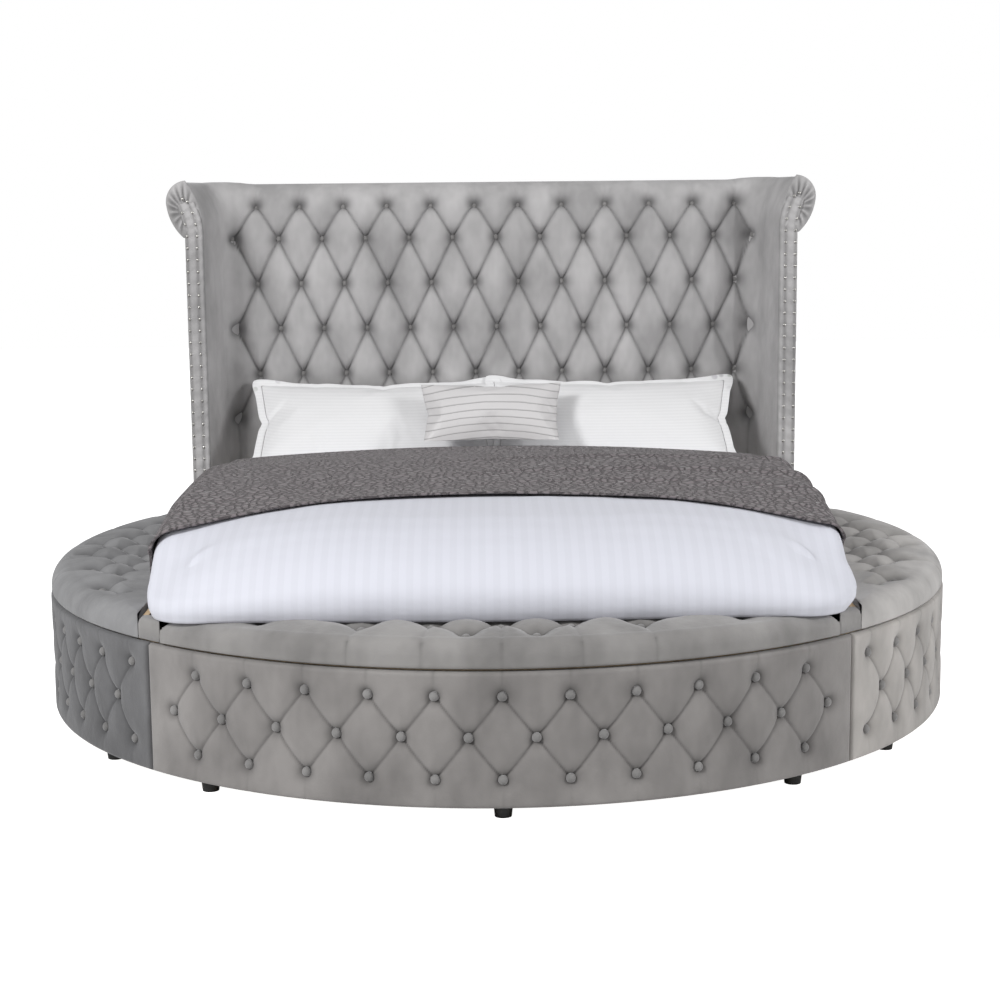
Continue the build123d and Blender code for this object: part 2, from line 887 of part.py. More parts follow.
with BuildPart() as headboard_back:
    add(
        box_between(
            (-headboard_half_width, core_back + fit_gap, headboard_bottom),
            (headboard_half_width, core_back + fit_gap + back_cover, roll_under - fit_gap),
        )
    )
save("headboard_back", headboard_back.part)


def wing_profile():
    """The wing seen from the front of the right side, upright and then rolling outwards."""
    x = wing_inner_front
    outer = x + wing_thickness
    crest = (x + scroll_crest, wing_top)
    reach = (x + scroll_reach[0], scroll_reach[1])
    with BuildSketch(Plane.XZ.offset(-wing_front_y)) as profile:
        with BuildLine():
            Line((x, headboard_bottom), (x, wing_flare_start))
            ThreePointArc(
                (x, wing_flare_start),
                (x + wing_flare_bulge[0], wing_flare_start + wing_flare_bulge[1]),
                crest,
            )
            ThreePointArc(crest, (x + scroll_shoulder[0], scroll_shoulder[1]), reach)
            ThreePointArc(reach, (x + scroll_under[0], scroll_under[1]), (outer, scroll_return))
            Polyline((outer, scroll_return), (outer, headboard_bottom), (x, headboard_bottom))
        make_face()
    return profile.sketch


wing_run = Vector(wing_inner_back - wing_inner_front, core_front - headboard_pad - wing_front_y, 0)


def along_wing(sketch, start, end):
    """A prism of a front profile, along the wing's slant between two depths."""
    share = (start - wing_front_y) / wing_run.Y
    begin = Vector(wing_run.X * share, start - wing_front_y, 0)
    length = wing_run.length * (end - start) / wing_run.Y
    with BuildPart() as prism:
        extrude(sketch.moved(Location(begin)), amount=length, dir=wing_run)
    return prism.part


behind_pad = box_between(
    (0, pad_front, 0), (headboard_half_width + fit_gap, base_radius + overrun, 2 * base_radius)
)
with BuildPart() as right_wing_whole:
    add(along_wing(wing_profile(), wing_front_y, wing_back_y))
    add(behind_pad, mode=Mode.SUBTRACT)

board_x = wing_inner_front + wing_board_inset
with BuildSketch(Plane.XZ.offset(-wing_front_y)) as board_profile:
    with Locations((board_x, headboard_bottom)):
        Rectangle(
            wing_board_ply, wing_board_top - headboard_bottom, align=(Align.MIN, Align.MIN)
        )
with BuildSketch(Plane.XZ.offset(-wing_front_y)) as board_slot:
    with Locations((board_x - fit_gap, headboard_bottom - overrun)):
        Rectangle(
            wing_board_ply + 2 * fit_gap,
            wing_board_top + overrun + fit_gap - headboard_bottom,
            align=(Align.MIN, Align.MIN),
        )
board_front = wing_front_y + wing_board_front_inset
with BuildPart() as right_wing_board:
    add(along_wing(board_profile.sketch, board_front, wing_back_y))
with BuildPart() as right_wing_padding:
    add(right_wing_whole.part)
    add(
        along_wing(board_slot.sketch, board_front - fit_gap, wing_back_y + overrun),
        mode=Mode.SUBTRACT,
    )

with BuildPart() as right_wing_band:
    with BuildSketch(Plane.XZ.offset(-wing_front_y)):
        x = wing_inner_front
        low_x = x + band_edge_gap
        high_x = x + wing_thickness - band_edge_gap
        inner_end = (x + band_inner_end[0], band_inner_end[1])
        tip = (x + band_tip[0], band_tip[1])
        outer_end = (x + band_outer_end[0], band_outer_end[1])
        with BuildLine():
            Line((low_x, band_low), (low_x, band_bend))
            ThreePointArc(
                (low_x, band_bend), (x + band_inner_bulge[0], band_inner_bulge[1]), inner_end
            )
            Line(inner_end, tip)
            Line(tip, outer_end)
            ThreePointArc(
                outer_end, (x + band_outer_bulge[0], band_outer_bulge[1]), (high_x, band_bend)
            )
            Polyline((high_x, band_bend), (high_x, band_low), (low_x, band_low))
        make_face()
    extrude(amount=band_thickness)


def nail_row(row_x, bulge, end, tip):
    """Places of the nails along one row, from the bottom up and round the scroll."""
    x = wing_inner_front
    with BuildLine() as row:
        Line((x + row_x, nail_low), (x + row_x, band_bend))
        ThreePointArc(
            (x + row_x, band_bend), (x + bulge[0], bulge[1]), (x + end[0], end[1])
        )
        if tip:
            Line((x + end[0], end[1]), (x + tip[0], tip[1]))
    wire = row.wire()
    count = int(wire.length / nail_pitch)
    return [wire @ (i / count) for i in range(count + 1)]


with BuildPart() as one_nail:
    Cylinder(nail_radius, nail_height, align=(Align.CENTER, Align.CENTER, Align.MIN))
    chamfer(one_nail.edges().sort_by(Axis.Z)[-1], nail_edge)
nail_spots = nail_row(nail_row_outer, nail_outer_bulge, nail_outer_end, None)
nail_spots += nail_row(nail_row_inner, nail_inner_bulge, nail_inner_end, nail_tip)
nail_face = wing_front_y - band_thickness
nail_planes = [Plane(origin=(p.X, nail_face, p.Y), z_dir=(0, -1, 0)) for p in nail_spots]
wing_pieces = {
    "wing_board": right_wing_board.part,
    "wing_padding": right_wing_padding.part,
    "wing_band": right_wing_band.part,
    "wing_nails": placed(one_nail.part, nail_planes),
}
for name, solid in wing_pieces.items():
    save(f"right_{name}", solid)
    save(f"left_{name}", mirrored(solid))


def head_profile(at_x):
    """The padding seen from the side at a place across the bed: a face, then a roll to the wall."""
    start = (pad_front, roll_start)
    crest = (pad_front + roll_crest_depth, roll_top)
    rear = (roll_rear, roll_start)
    under = (pad_front + roll_under_depth, roll_under)
    with BuildSketch(Plane.YZ.offset(at_x)) as profile:
        with BuildLine():
            Line((pad_front, pad_bottom), start)
            ThreePointArc(start, (pad_front + roll_lean, roll_top - roll_lean), crest)
            ThreePointArc(crest, (roll_rear - roll_lean, roll_top - roll_lean), rear)
            ThreePointArc(rear, (roll_rear - roll_lean / 2, roll_under + roll_lean), under)
            Polyline(
                under,
                (core_back + fit_gap, roll_under),
                (core_back + fit_gap, core_top + fit_gap),
                (core_front - fit_gap, core_top + fit_gap),
                (core_front - fit_gap, pad_bottom),
                (pad_front, pad_bottom),
            )
        make_face()
    return profile.sketch


head_spots = {}
for row, height in enumerate(head_rows):
    shift = 0 if row % 2 else 0.5
    for i in range(-head_columns, head_columns + (row % 2)):
        x = (i + shift) * head_button_pitch
        limit = headboard_half_width - head_end_inset
        head_spots[(row, i + shift)] = (max(-limit, min(limit, x)), height)
head_planes = [
    Plane(origin=(x, pad_front, z), x_dir=(1, 0, 0), z_dir=(0, -1, 0)) for x, z in head_spots.values()
]
head_folds = {}
for (row, column), (x, z) in head_spots.items():
    for side in (-0.5, 0.5):
        if (row + 1, column + side) in head_spots:
            next_x, next_z = head_spots[(row + 1, column + side)]
            run = round(sqrt((next_x - x) ** 2 + (next_z - z) ** 2), 1)
            at = Plane(
                origin=((x + next_x) / 2, pad_front, (z + next_z) / 2),
                x_dir=(next_x - x, 0, next_z - z),
                z_dir=(0, -1, 0),
            )
            head_folds.setdefault(run, []).append(at)
with BuildPart() as headboard_tufting:
    extrude(head_profile(-headboard_half_width), amount=2 * headboard_half_width)
    for run, planes in head_folds.items():
        with Locations(*[Location(p) for p in planes]):
            add(fold_tool(run, head_fold_half_width, head_fold_depth), mode=Mode.SUBTRACT)
    with Locations(*[Location(p) for p in head_planes]):
        add(dimple_tool(head_dimple_radius, head_dimple_depth), mode=Mode.SUBTRACT)
save("headboard_tufting", headboard_tufting.part)
button_planes = [
    Plane(origin=(x, pad_front + head_dimple_depth, z), x_dir=(1, 0, 0), z_dir=(0, -1, 0))
    for x, z in head_spots.values()
]
save("headboard_buttons", placed(one_button, button_planes))

# Padded ends that carry the roll into the wings
with BuildPart() as right_roll_end:
    extrude(head_profile(headboard_half_width + fit_gap), amount=roll_end - headboard_half_width)
    add(
        box_between((0, 0, 0), (base_radius, 2 * base_radius, wing_flare_start + fit_gap)),
        mode=Mode.SUBTRACT,
    )
    add(
        along_wing(wing_profile(), wing_front_y, wing_back_y + fit_gap).moved(
            Location((-fit_gap, 0, 0))
        ),
        mode=Mode.SUBTRACT,
    )
with BuildPart() as roll_ends:
    add(right_roll_end.part)
    mirror(right_roll_end.part, about=Plane.YZ)
save("headboard_roll_ends", roll_ends.part)

# Mattress
with BuildPart() as mattress:
    with BuildSketch(Plane.XY.offset(slat_top)):
        with Locations((0, (mattress_foot + mattress_head) / 2)):
            RectangleRounded(mattress_width, mattress_length, mattress_corner)
    extrude(amount=mattress_thickness)
    fillet(mattress.edges().group_by(Axis.Z)[-1], mattress_edge)
    fillet(mattress.edges().group_by(Axis.Z)[0], mattress_edge)
save("mattress", mattress.part)


def bed_arch(grow, bottom):
    """The bed's crowned section run lengthwise, grown outwards, its sides falling to a height."""
    side = comforter_side + grow
    shoulder = (side - shoulder_inset, bed_shoulder + grow)
    knee_in = shoulder_inset * (1 - cos(radians(45)))
    knee = (side - knee_in, shoulder[1] - knee_in)
    low = (side, shoulder[1] - shoulder_inset)
    with BuildPart() as arch:
        with BuildSketch(Plane.XZ.offset(base_radius)):
            with BuildLine():
                ThreePointArc((-shoulder[0], shoulder[1]), (0, bed_top + grow), shoulder)
                ThreePointArc(shoulder, knee, low)
                Polyline(low, (side, bottom), (-side, bottom), (-low[0], low[1]))
                ThreePointArc((-low[0], low[1]), (-knee[0], knee[1]), (-shoulder[0], shoulder[1]))
            make_face()
        extrude(amount=-2 * base_radius)
    return arch.part


with BuildPart() as comforter:
    add(bed_arch(0, comforter_drop))
    with BuildSketch(Plane.YZ.offset(-base_radius)):
        hem = (comforter_front, comforter_hem)
        face = (comforter_front, comforter_front_face)
        knee = (pocket_foot + comforter_front_knee[0], comforter_front_knee[1])
        top_front = (pocket_foot + comforter_front_top[0], comforter_front_top[1])
        top_back = (comforter_back - comforter_back_edge, bed_top + soft_gap)
        low_back = (comforter_back, bed_shoulder - comforter_back_edge)
        with BuildLine():
            Line(hem, face)
            ThreePointArc(face, knee, top_front)
            Polyline(
                top_front,
                top_back,
                low_back,
                (comforter_back, comforter_drop),
                (comforter_tuck_front, comforter_drop),
                (comforter_tuck_front, comforter_hem),
                hem,
            )
        make_face()
    extrude(amount=2 * base_radius, mode=Mode.INTERSECT)
    with BuildSketch():
        quarter_x, knee_x, end_x = [
            comforter_side - inset
            for inset, _ in (comforter_front_quarter, comforter_corner_knee, comforter_corner_end)
        ]
        quarter_y, knee_y, end_y = [
            pocket_foot + set_back
            for _, set_back in (comforter_front_quarter, comforter_corner_knee, comforter_corner_end)
        ]
        with BuildLine():
            ThreePointArc((-quarter_x, quarter_y), (0, comforter_front), (quarter_x, quarter_y))
            ThreePointArc((quarter_x, quarter_y), (knee_x, knee_y), (end_x, end_y))
            Polyline(
                (end_x, end_y), (end_x, base_radius), (-end_x, base_radius), (-end_x, end_y)
            )
            ThreePointArc((-end_x, end_y), (-knee_x, knee_y), (-quarter_x, quarter_y))
        make_face()
    extrude(amount=bed_top + overrun, mode=Mode.INTERSECT)
    for side in (-1, 1):
        with BuildSketch(Plane.XZ.offset(base_radius)):
            outer_x = side * (comforter_side + overrun)
            inner_x = side * (comforter_side - comforter_tuck)
            with BuildLine():
                Polyline(
                    (side * comforter_side, comforter_tuck_top),
                    (inner_x, comforter_tuck_low),
                    (inner_x, 0),
                    (outer_x, 0),
                    (outer_x, comforter_tuck_top),
                    close=True,
                )
            make_face()
        extrude(amount=-2 * base_radius, mode=Mode.SUBTRACT)
    add(
        box_between(
            (-mattress_width / 2 - fit_gap, mattress_foot - fit_gap, 0),
            (mattress_width / 2 + fit_gap, base_radius, mattress_top + fit_gap),
        ),
        mode=Mode.SUBTRACT,
    )
save("comforter", comforter.part)

with BuildPart() as throw:
    add(bed_arch(throw_gap + throw_thickness, throw_bottom))
    add(bed_arch(throw_gap, 0), mode=Mode.SUBTRACT)
    with BuildSketch():
        with BuildLine():
            reach = comforter_side + overrun
            side_front = throw_back - throw_side_length
            ThreePointArc(
                (-reach, side_front), (0, throw_back - throw_middle_length), (reach, side_front)
            )
            Polyline(
                (reach, side_front),
                (wide, side_front),
                (wide, throw_back),
                (-wide, throw_back),
                (-wide, side_front),
                (-reach, side_front),
            )
        make_face()
    extrude(amount=bed_top + throw_thickness + overrun, mode=Mode.INTERSECT)
save("throw", throw.part)


def pillow_solid(width, height, thickness):
    """A stuffed pillow, flat on its back, its sides drawn in between its corners."""
    with BuildPart() as pillow:
        for depth_share, inset_share in zip(pillow_depth_shares, pillow_inset_shares):
            half_x = width / 2 - inset_share * height / 2
            half_y = height / 2 * (1 - inset_share)
            pull = pillow_side_pull * (1 - inset_share)
            with BuildSketch(Plane.XY.offset(depth_share * thickness / 2)):
                with BuildLine():
                    ThreePointArc((-half_x, -half_y), (0, pull - half_y), (half_x, -half_y))
                    ThreePointArc((half_x, -half_y), (half_x - pull, 0), (half_x, half_y))
                    ThreePointArc((half_x, half_y), (0, half_y - pull), (-half_x, half_y))
                    ThreePointArc((-half_x, half_y), (pull - half_x, 0), (-half_x, -half_y))
                make_face()
        loft()
    return pillow.part


def leaned(pillow, lean, x, seat):
    """A pillow leant back from the flat and lowered onto its seat."""
    tilted = pillow.moved(Location((x, 0, 0), (lean, 0, 0)))
    return tilted.moved(Location((0, 0, seat - tilted.bounding_box().min.Z)))


sham = leaned(
    pillow_solid(sham_width, sham_height, sham_thickness),
    sham_lean,
    sham_spread,
    mattress_top + fit_gap,
)
sham = sham.moved(Location((0, pad_front - sham_head_gap - sham.bounding_box().max.Y, 0)))
save("right_sham", sham)
save("left_sham", mirrored(sham))

accent = leaned(
    pillow_solid(accent_width, accent_height, accent_thickness),
    accent_lean,
    accent_x,
    bed_top + accent_seat_gap,
)
save("accent_cushion", accent.moved(Location((0, comforter_back + accent_behind, 0))))
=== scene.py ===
"""Look of the round storage bed: tufted velvet, nailheads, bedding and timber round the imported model."""
import math

import bmesh
import bpy
import numpy as np
from mathutils import Matrix, Vector, noise


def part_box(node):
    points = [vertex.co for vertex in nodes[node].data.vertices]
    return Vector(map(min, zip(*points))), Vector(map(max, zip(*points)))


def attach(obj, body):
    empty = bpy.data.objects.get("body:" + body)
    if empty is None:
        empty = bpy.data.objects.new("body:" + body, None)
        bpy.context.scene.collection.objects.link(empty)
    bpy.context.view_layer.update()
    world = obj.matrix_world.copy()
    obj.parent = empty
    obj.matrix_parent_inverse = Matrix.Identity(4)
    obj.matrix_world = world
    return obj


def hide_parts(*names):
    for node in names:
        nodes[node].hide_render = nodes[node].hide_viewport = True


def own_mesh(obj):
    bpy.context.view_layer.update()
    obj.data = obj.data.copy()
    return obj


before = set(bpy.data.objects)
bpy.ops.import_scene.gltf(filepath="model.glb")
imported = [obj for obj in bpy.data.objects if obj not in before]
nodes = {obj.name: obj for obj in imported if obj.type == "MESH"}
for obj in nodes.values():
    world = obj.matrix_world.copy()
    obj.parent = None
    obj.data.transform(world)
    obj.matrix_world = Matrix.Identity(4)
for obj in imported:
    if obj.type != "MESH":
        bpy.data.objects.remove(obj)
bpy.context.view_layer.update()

scene = bpy.context.scene
rng = np.random.default_rng(7)

# Base, read from the frame
ring = -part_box("foot_bench_cover")[0].y
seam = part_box("foot_bench_cover")[1].x
cover_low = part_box("foot_bench_cover")[0].z
cover_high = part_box("foot_bench_cover")[1].z
side_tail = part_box("right_bench_cover")[1].y
lid_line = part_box("foot_lid_board")[0].z
lid_radius = -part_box("foot_lid_cushion")[0].y
foot_lid_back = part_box("foot_lid_cushion")[1].y
side_lid_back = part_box("right_lid_cushion")[0].x
pad_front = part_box("headboard_tufting")[0].y
pad_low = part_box("headboard_tufting")[0].z
wing_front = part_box("right_wing_padding")[0].y
wing_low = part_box("right_wing_padding")[0].z
wing_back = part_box("right_wing_padding")[1].y
mattress_low, mattress_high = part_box("mattress")

# Spacing of points in the tufted meshes and along the comforter's front
fine = 0.0038
medium = 0.012

# Tufts, as in the model
foot_tuft_angle = math.radians(7.1)
side_tuft_first = math.radians(46.3)
side_tuft_angle = math.radians(6.6)
side_tuft_columns = 14
foot_tuft_half = 5
cover_rows = (0.293, 0.196, 0.097)
lid_pitch = 0.163
lid_row_pitch = 0.073
lid_first_row = 0.081
head_pitch = 0.1495
head_rows = (1.410, 1.289, 1.137, 0.982, 0.827, 0.673)
head_columns = 6
head_last_button = 0.885
head_shift = 0.017


def material(name, **values):
    """A new material, its node tree, and its Principled shader with its values set."""
    made = bpy.data.materials.new(name)
    made.use_nodes = True
    shader = made.node_tree.nodes["Principled BSDF"]
    for key, value in values.items():
        shader.inputs[key.replace("_", " ")].default_value = value
    return made, made.node_tree, shader


def feed(tree, socket, value):
    """Sets an input, or links it where the value is another node's output."""
    if isinstance(value, bpy.types.NodeSocket):
        tree.links.new(value, socket)
    else:
        socket.default_value = value


def add_node(tree, kind, *inputs, **settings):
    """A shader node with its first inputs in order, its settings and, by name, other inputs."""
    node = tree.nodes.new("ShaderNode" + kind)
    for key, value in settings.items():
        if hasattr(node, key):
            setattr(node, key, value)
        else:
            feed(tree, node.inputs[key.replace("_", " ")], value)
    for socket, value in zip(node.inputs, inputs):
        feed(tree, socket, value)
    return node


def scaled(colour, share):
    """A darker or lighter share of a colour."""
    return tuple(c * share for c in colour)


def ramp(tree, source, low, high, dark, light):
    """A colour ramp between two colours, fed by a value."""
    node = add_node(tree, "ValToRGB", source)
    for element, position, colour in zip(node.color_ramp.elements, (low, high), (dark, light)):
        element.position = position
        element.color = (*colour, 1)
    return node.outputs["Color"]


def paint(tree, shader, colour):
    """Gives the shader its colour."""
    tree.links.new(colour, shader.inputs["Base Color"])


def mixed(tree, share, first, second):
    """A colour between two colours."""
    node = add_node(tree, "Mix", data_type="RGBA", Factor=share)
    feed(tree, node.inputs[6], first)
    feed(tree, node.inputs[7], second)
    return node.outputs[2]


def sum_of(tree, operation, *values):
    """The result of an operation on values and outputs."""
    return add_node(tree, "Math", *values, operation=operation).outputs[0]


def object_coordinates(tree, scale=(1, 1, 1)):
    """Object coordinates, scaled."""
    place = add_node(tree, "TexCoord").outputs["Object"]
    return add_node(tree, "Mapping", Vector=place, Scale=scale).outputs["Vector"]


def grain(tree, place, scale, detail=2.0, roughness=0.5, distortion=0.0):
    """Noise at a place, from 0 to 1."""
    node = add_node(
        tree, "TexNoise", Vector=place, Scale=scale, Detail=detail, Roughness=roughness, Distortion=distortion
    )
    return node.outputs["Fac"]


def bump(tree, shader, height, strength, distance, below=None):
    """A bump from a height, on top of another bump's normal."""
    node = add_node(tree, "Bump", Strength=strength, Distance=distance, Height=height)
    if below:
        tree.links.new(below, node.inputs["Normal"])
    tree.links.new(node.outputs["Normal"], shader.inputs["Normal"])
    return node.outputs["Normal"]


def velvet(name, colour, painted_shade_share=0.34, sheen=0.35):
    """Short-pile velvet: brushed patches, painted shade in its folds, pleats and button dimples, and a fine
    nap.
    """
    made, tree, shader = material(
        name, Roughness=0.82, Specular_IOR_Level=0.25,
        Sheen_Weight=sheen, Sheen_Roughness=0.45, Sheen_Tint=(0.95, 0.95, 0.97, 1),
    )
    place = object_coordinates(tree)
    patches = grain(tree, object_coordinates(tree, (1.0, 1.0, 0.55)), 7.0, 3.0, 0.6)
    brushed = ramp(tree, patches, 0.33, 0.67, scaled(colour, 0.80), scaled(colour, 1.20))
    # The attribute darkens the colour where the pieces mark folds, pinches, pleats and button dimples:
    # painted shade.
    painted_shade_and_print = add_node(tree, "Attribute", attribute_name="painted_shade_and_print").outputs["Fac"]
    paint(tree, shader, mixed(tree, painted_shade_and_print, brushed, (*scaled(colour, painted_shade_share), 1)))
    below = bump(tree, shader, grain(tree, place, 34.0, 4.0, 0.55), 0.35, 0.006)
    bump(tree, shader, grain(tree, place, 900.0, 2.0, 0.6), 0.25, 0.0006, below)
    return made


def plain_metal(name, colour, roughness):
    """Plated metal with faint brushing and handling marks."""
    made, tree, shader = material(name, Metallic=1.0)
    marks = grain(tree, object_coordinates(tree, (1, 1, 4)), 60.0, 3.0)
    paint(tree, shader, ramp(tree, marks, 0.3, 0.7, scaled(colour, 0.85), colour))
    rough = add_node(tree, "MapRange", Value=marks, To_Min=roughness * 0.7, To_Max=roughness * 1.3)
    tree.links.new(rough.outputs["Result"], shader.inputs["Roughness"])
    return made


def wood(name, light, dark, along):
    """Planed timber or plywood with its grain along an axis."""
    made, tree, shader = material(name, Roughness=0.62)
    stretch = tuple(1.2 if i == along else 16.0 for i in range(3))
    lines = grain(tree, object_coordinates(tree, stretch), 3.0, 6.0, 0.62, 0.8)
    paint(tree, shader, ramp(tree, lines, 0.32, 0.7, dark, light))
    bump(tree, shader, lines, 0.25, 0.002)
    return made


def moulded_plastic(name, colour):
    """Black moulded plastic with a fine grain."""
    made, tree, shader = material(name, Roughness=0.5)
    specks = grain(tree, object_coordinates(tree), 400.0)
    paint(tree, shader, ramp(tree, specks, 0.3, 0.7, scaled(colour, 0.7), colour))
    bump(tree, shader, specks, 0.2, 0.0005)
    return made


def striped_cotton(name, colour, stripe_pitch, contrast, along=0):
    """Woven cotton with self stripes across one axis."""
    made, tree, shader = material(name, Roughness=0.72, Sheen_Weight=0.15)
    place = object_coordinates(tree)
    across = add_node(tree, "SeparateXYZ", place).outputs[along]
    wave = sum_of(tree, "SINE", sum_of(tree, "MULTIPLY", across, 2 * math.pi / stripe_pitch))
    stripe = add_node(tree, "MapRange", Value=wave, From_Min=-1.0).outputs["Result"]
    paint(tree, shader, ramp(tree, stripe, 0.4, 0.6, scaled(colour, contrast), colour))
    below = bump(tree, shader, grain(tree, place, 5.0, 4.0), 0.35, 0.02)
    below = bump(tree, shader, stripe, 0.2, 0.0006, below)
    bump(tree, shader, grain(tree, place, 520.0), 0.25, 0.0006, below)
    return made


def quilted(name, colour):
    """Dark velvet throw, quilted in small cells with wandering edges."""
    made, tree, shader = material(name, Roughness=0.80, Sheen_Weight=0.20, Sheen_Roughness=0.40)
    place = object_coordinates(tree)
    drift = add_node(tree, "TexNoise", Vector=place, Scale=14.0, Detail=2.0).outputs["Color"]
    bent = add_node(tree, "VectorMath", drift, (0.03, 0.03, 0.03), place, operation="MULTIPLY_ADD")
    cells = add_node(
        tree, "TexVoronoi", feature="DISTANCE_TO_EDGE", Vector=bent.outputs["Vector"], Scale=48.0
    )
    puff = add_node(
        tree, "MapRange", interpolation_type="SMOOTHSTEP", Value=cells.outputs["Distance"], From_Max=0.24
    ).outputs["Result"]
    # The colour darkens towards each cell's stitched edge: painted shade in the quilting's sunk lines.
    paint(tree, shader, ramp(tree, puff, 0.0, 0.7, scaled(colour, 0.42), colour))
    below = bump(tree, shader, puff, 1.0, 0.006)
    bump(tree, shader, grain(tree, place, 700.0), 0.3, 0.0006, below)
    return made


def printed_cotton(name, colour):
    """White striped cotton with a faint scattered petal print at the flaps."""
    made = striped_cotton(name, colour, 0.009, 0.965, along=2)
    tree = made.node_tree
    shader = tree.nodes["Principled BSDF"]
    plain = shader.inputs["Base Color"].links[0].from_socket
    petals = add_node(tree, "TexVoronoi", Vector=object_coordinates(tree, (1.0, 0.6, 1.0)), Scale=26.0)
    spots = add_node(tree, "MapRange", Value=petals.outputs["Distance"], From_Min=0.34, From_Max=0.22)
    hue = ramp(tree, petals.outputs["Color"], 0.3, 0.7, (0.42, 0.47, 0.38), (0.50, 0.48, 0.52))
    flaps = add_node(tree, "Attribute", attribute_name="painted_shade_and_print").outputs["Fac"]
    strength = sum_of(tree, "MULTIPLY", flaps, spots.outputs["Result"])
    paint(tree, shader, mixed(tree, strength, plain, hue))
    return made


def pintucked(name, colour, pitch):
    """Satin with arched horizontal pintucks, each a raised edge over a thin shadow."""
    made, tree, shader = material(name, Roughness=0.45, Sheen_Weight=0.2)
    place = object_coordinates(tree)
    split = add_node(tree, "SeparateXYZ", place)
    arch = sum_of(tree, "POWER", split.outputs[0], 2.0)
    bow = sum_of(tree, "MULTIPLY_ADD", arch, 0.55, split.outputs[2])
    wander = sum_of(tree, "MULTIPLY_ADD", grain(tree, place, 6.0), 0.010, bow)
    tuck = sum_of(tree, "FRACT", sum_of(tree, "DIVIDE", wander, pitch))
    paint(tree, shader, ramp(tree, tuck, 0.0, 0.2, scaled(colour, 0.45), colour))
    below = bump(tree, shader, tuck, 1.0, 0.007)
    gathers = grain(tree, object_coordinates(tree, (1.6, 1.0, 0.25)), 60.0)
    bump(tree, shader, gathers, 0.3, 0.003, below)
    return made


headboard_velvet = velvet("velvet headboard", (0.430, 0.422, 0.424), 0.26)
# Lighter and darker copies of the headboard's velvet: each colour paints in the light or shade on its part,
# the right bench and right lid lit, the foot and left benches and lids shaded.
foot_bench_shaded_velvet = velvet("velvet foot bench", (0.250, 0.238, 0.231))
left_bench_shaded_velvet = velvet("velvet left bench", (0.140, 0.140, 0.144))
right_bench_lit_velvet = velvet("velvet right bench", (0.400, 0.380, 0.362))
foot_lid_shaded_velvet = velvet("velvet foot lid", (0.258, 0.250, 0.244))
left_lid_shaded_velvet = velvet("velvet left lid", (0.250, 0.250, 0.255))
right_lid_lit_velvet = velvet("velvet right lid", (0.430, 0.416, 0.404))
button_velvet = velvet("velvet buttons", (0.225, 0.220, 0.217), sheen=0.45)
nickel = plain_metal("nickel nailheads", (0.50, 0.49, 0.47), 0.30)
zinc = plain_metal("zinc plate", (0.62, 0.62, 0.63), 0.38)
plywood = wood("birch plywood", (0.74, 0.60, 0.42), (0.58, 0.44, 0.28), 0)
softwood = wood("planed softwood", (0.72, 0.55, 0.36), (0.52, 0.36, 0.20), 1)
foot_plastic = moulded_plastic("black plastic", (0.018, 0.018, 0.018))
comforter_cotton = striped_cotton("striped comforter", (0.685, 0.695, 0.765), 0.034, 0.965)
sham_cotton = printed_cotton("white shams", (0.86, 0.86, 0.87))
accent_satin = pintucked("pintucked satin", (0.70, 0.685, 0.690), 0.0215)
ticking = striped_cotton("mattress ticking", (0.80, 0.80, 0.79), 0.02, 0.93)
throw_velvet = quilted("quilted throw", (0.205, 0.180, 0.188))
lining = striped_cotton("back lining", (0.300, 0.294, 0.290), 0.003, 0.9)


# Mesh helpers
def add_object(name, data):
    """A new object in the scene."""
    made = bpy.data.objects.new(name, data)
    scene.collection.objects.link(made)
    return made


def from_shape(name, shape, look, mesh=None):
    """A smooth object from a bmesh, its faces turned outwards, on a mesh of its own or a given one."""
    if mesh is None:
        mesh = bpy.data.meshes.new(name)
    bmesh.ops.recalc_face_normals(shape, faces=shape.faces)
    shape.to_mesh(mesh)
    shape.free()
    mesh.shade_smooth()
    mesh.materials.append(look)
    return add_object(name, mesh)


def mesh_object(name, points, faces, look, painted_shade_and_print=None):
    """A smooth object from points and faces, with a share per point that the materials read as painted shade
    in the velvet's folds and as the print on the shams.
    """
    mesh = bpy.data.meshes.new(name)
    mesh.from_pydata(np.asarray(points, float).tolist(), [], faces)
    if painted_shade_and_print is not None:
        attribute = mesh.attributes.new("painted_shade_and_print", "FLOAT", "POINT")
        attribute.data.foreach_set("value", np.asarray(painted_shade_and_print, np.float32))
    shape = bmesh.new()
    shape.from_mesh(mesh)
    return from_shape(name, shape, look, mesh)


def coordinates(made):
    """The places of an object's own points."""
    return np.array([v.co for v in made.data.vertices])


def move_points(made, places):
    """Gives an object's points new places."""
    made.data.vertices.foreach_set("co", places.astype(np.float32).reshape(-1))
    made.data.update()


def stack(*parts):
    """Points from their coordinates, where a single number holds for all of them."""
    return np.stack(np.broadcast_arrays(*parts), -1)


def grid_faces(rows, columns, wrap=False, start=0):
    """Quads over a grid of points, closed round its columns if asked."""
    index = np.arange(rows * columns).reshape(rows, columns) + start
    if wrap:
        index = np.concatenate([index, index[:, :1]], axis=1)
    corners = (index[:-1, :-1], index[1:, :-1], index[1:, 1:], index[:-1, 1:])
    return np.stack(corners, -1).reshape(-1, 4).tolist()


def tube(name, grid, look, painted_shade_and_print=None):
    """A closed piece from cross-sections: each row is a closed section, and both ends are capped."""
    rows, columns = grid.shape[:2]
    faces = grid_faces(rows, columns, wrap=True)
    faces.append(list(range(columns)))
    faces.append(list(range((rows - 1) * columns, rows * columns)))
    flat_painted_shade = None if painted_shade_and_print is None else painted_shade_and_print.reshape(-1)
    return mesh_object(name, grid.reshape(-1, 3), faces, look, flat_painted_shade)


def stands_for(made, body, slot, *replaced):
    """Puts a piece on its body and hides the solids that it stands for; its finish name, slot, is not used.
    """
    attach(made, body)
    if replaced:
        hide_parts(*replaced)
    return made


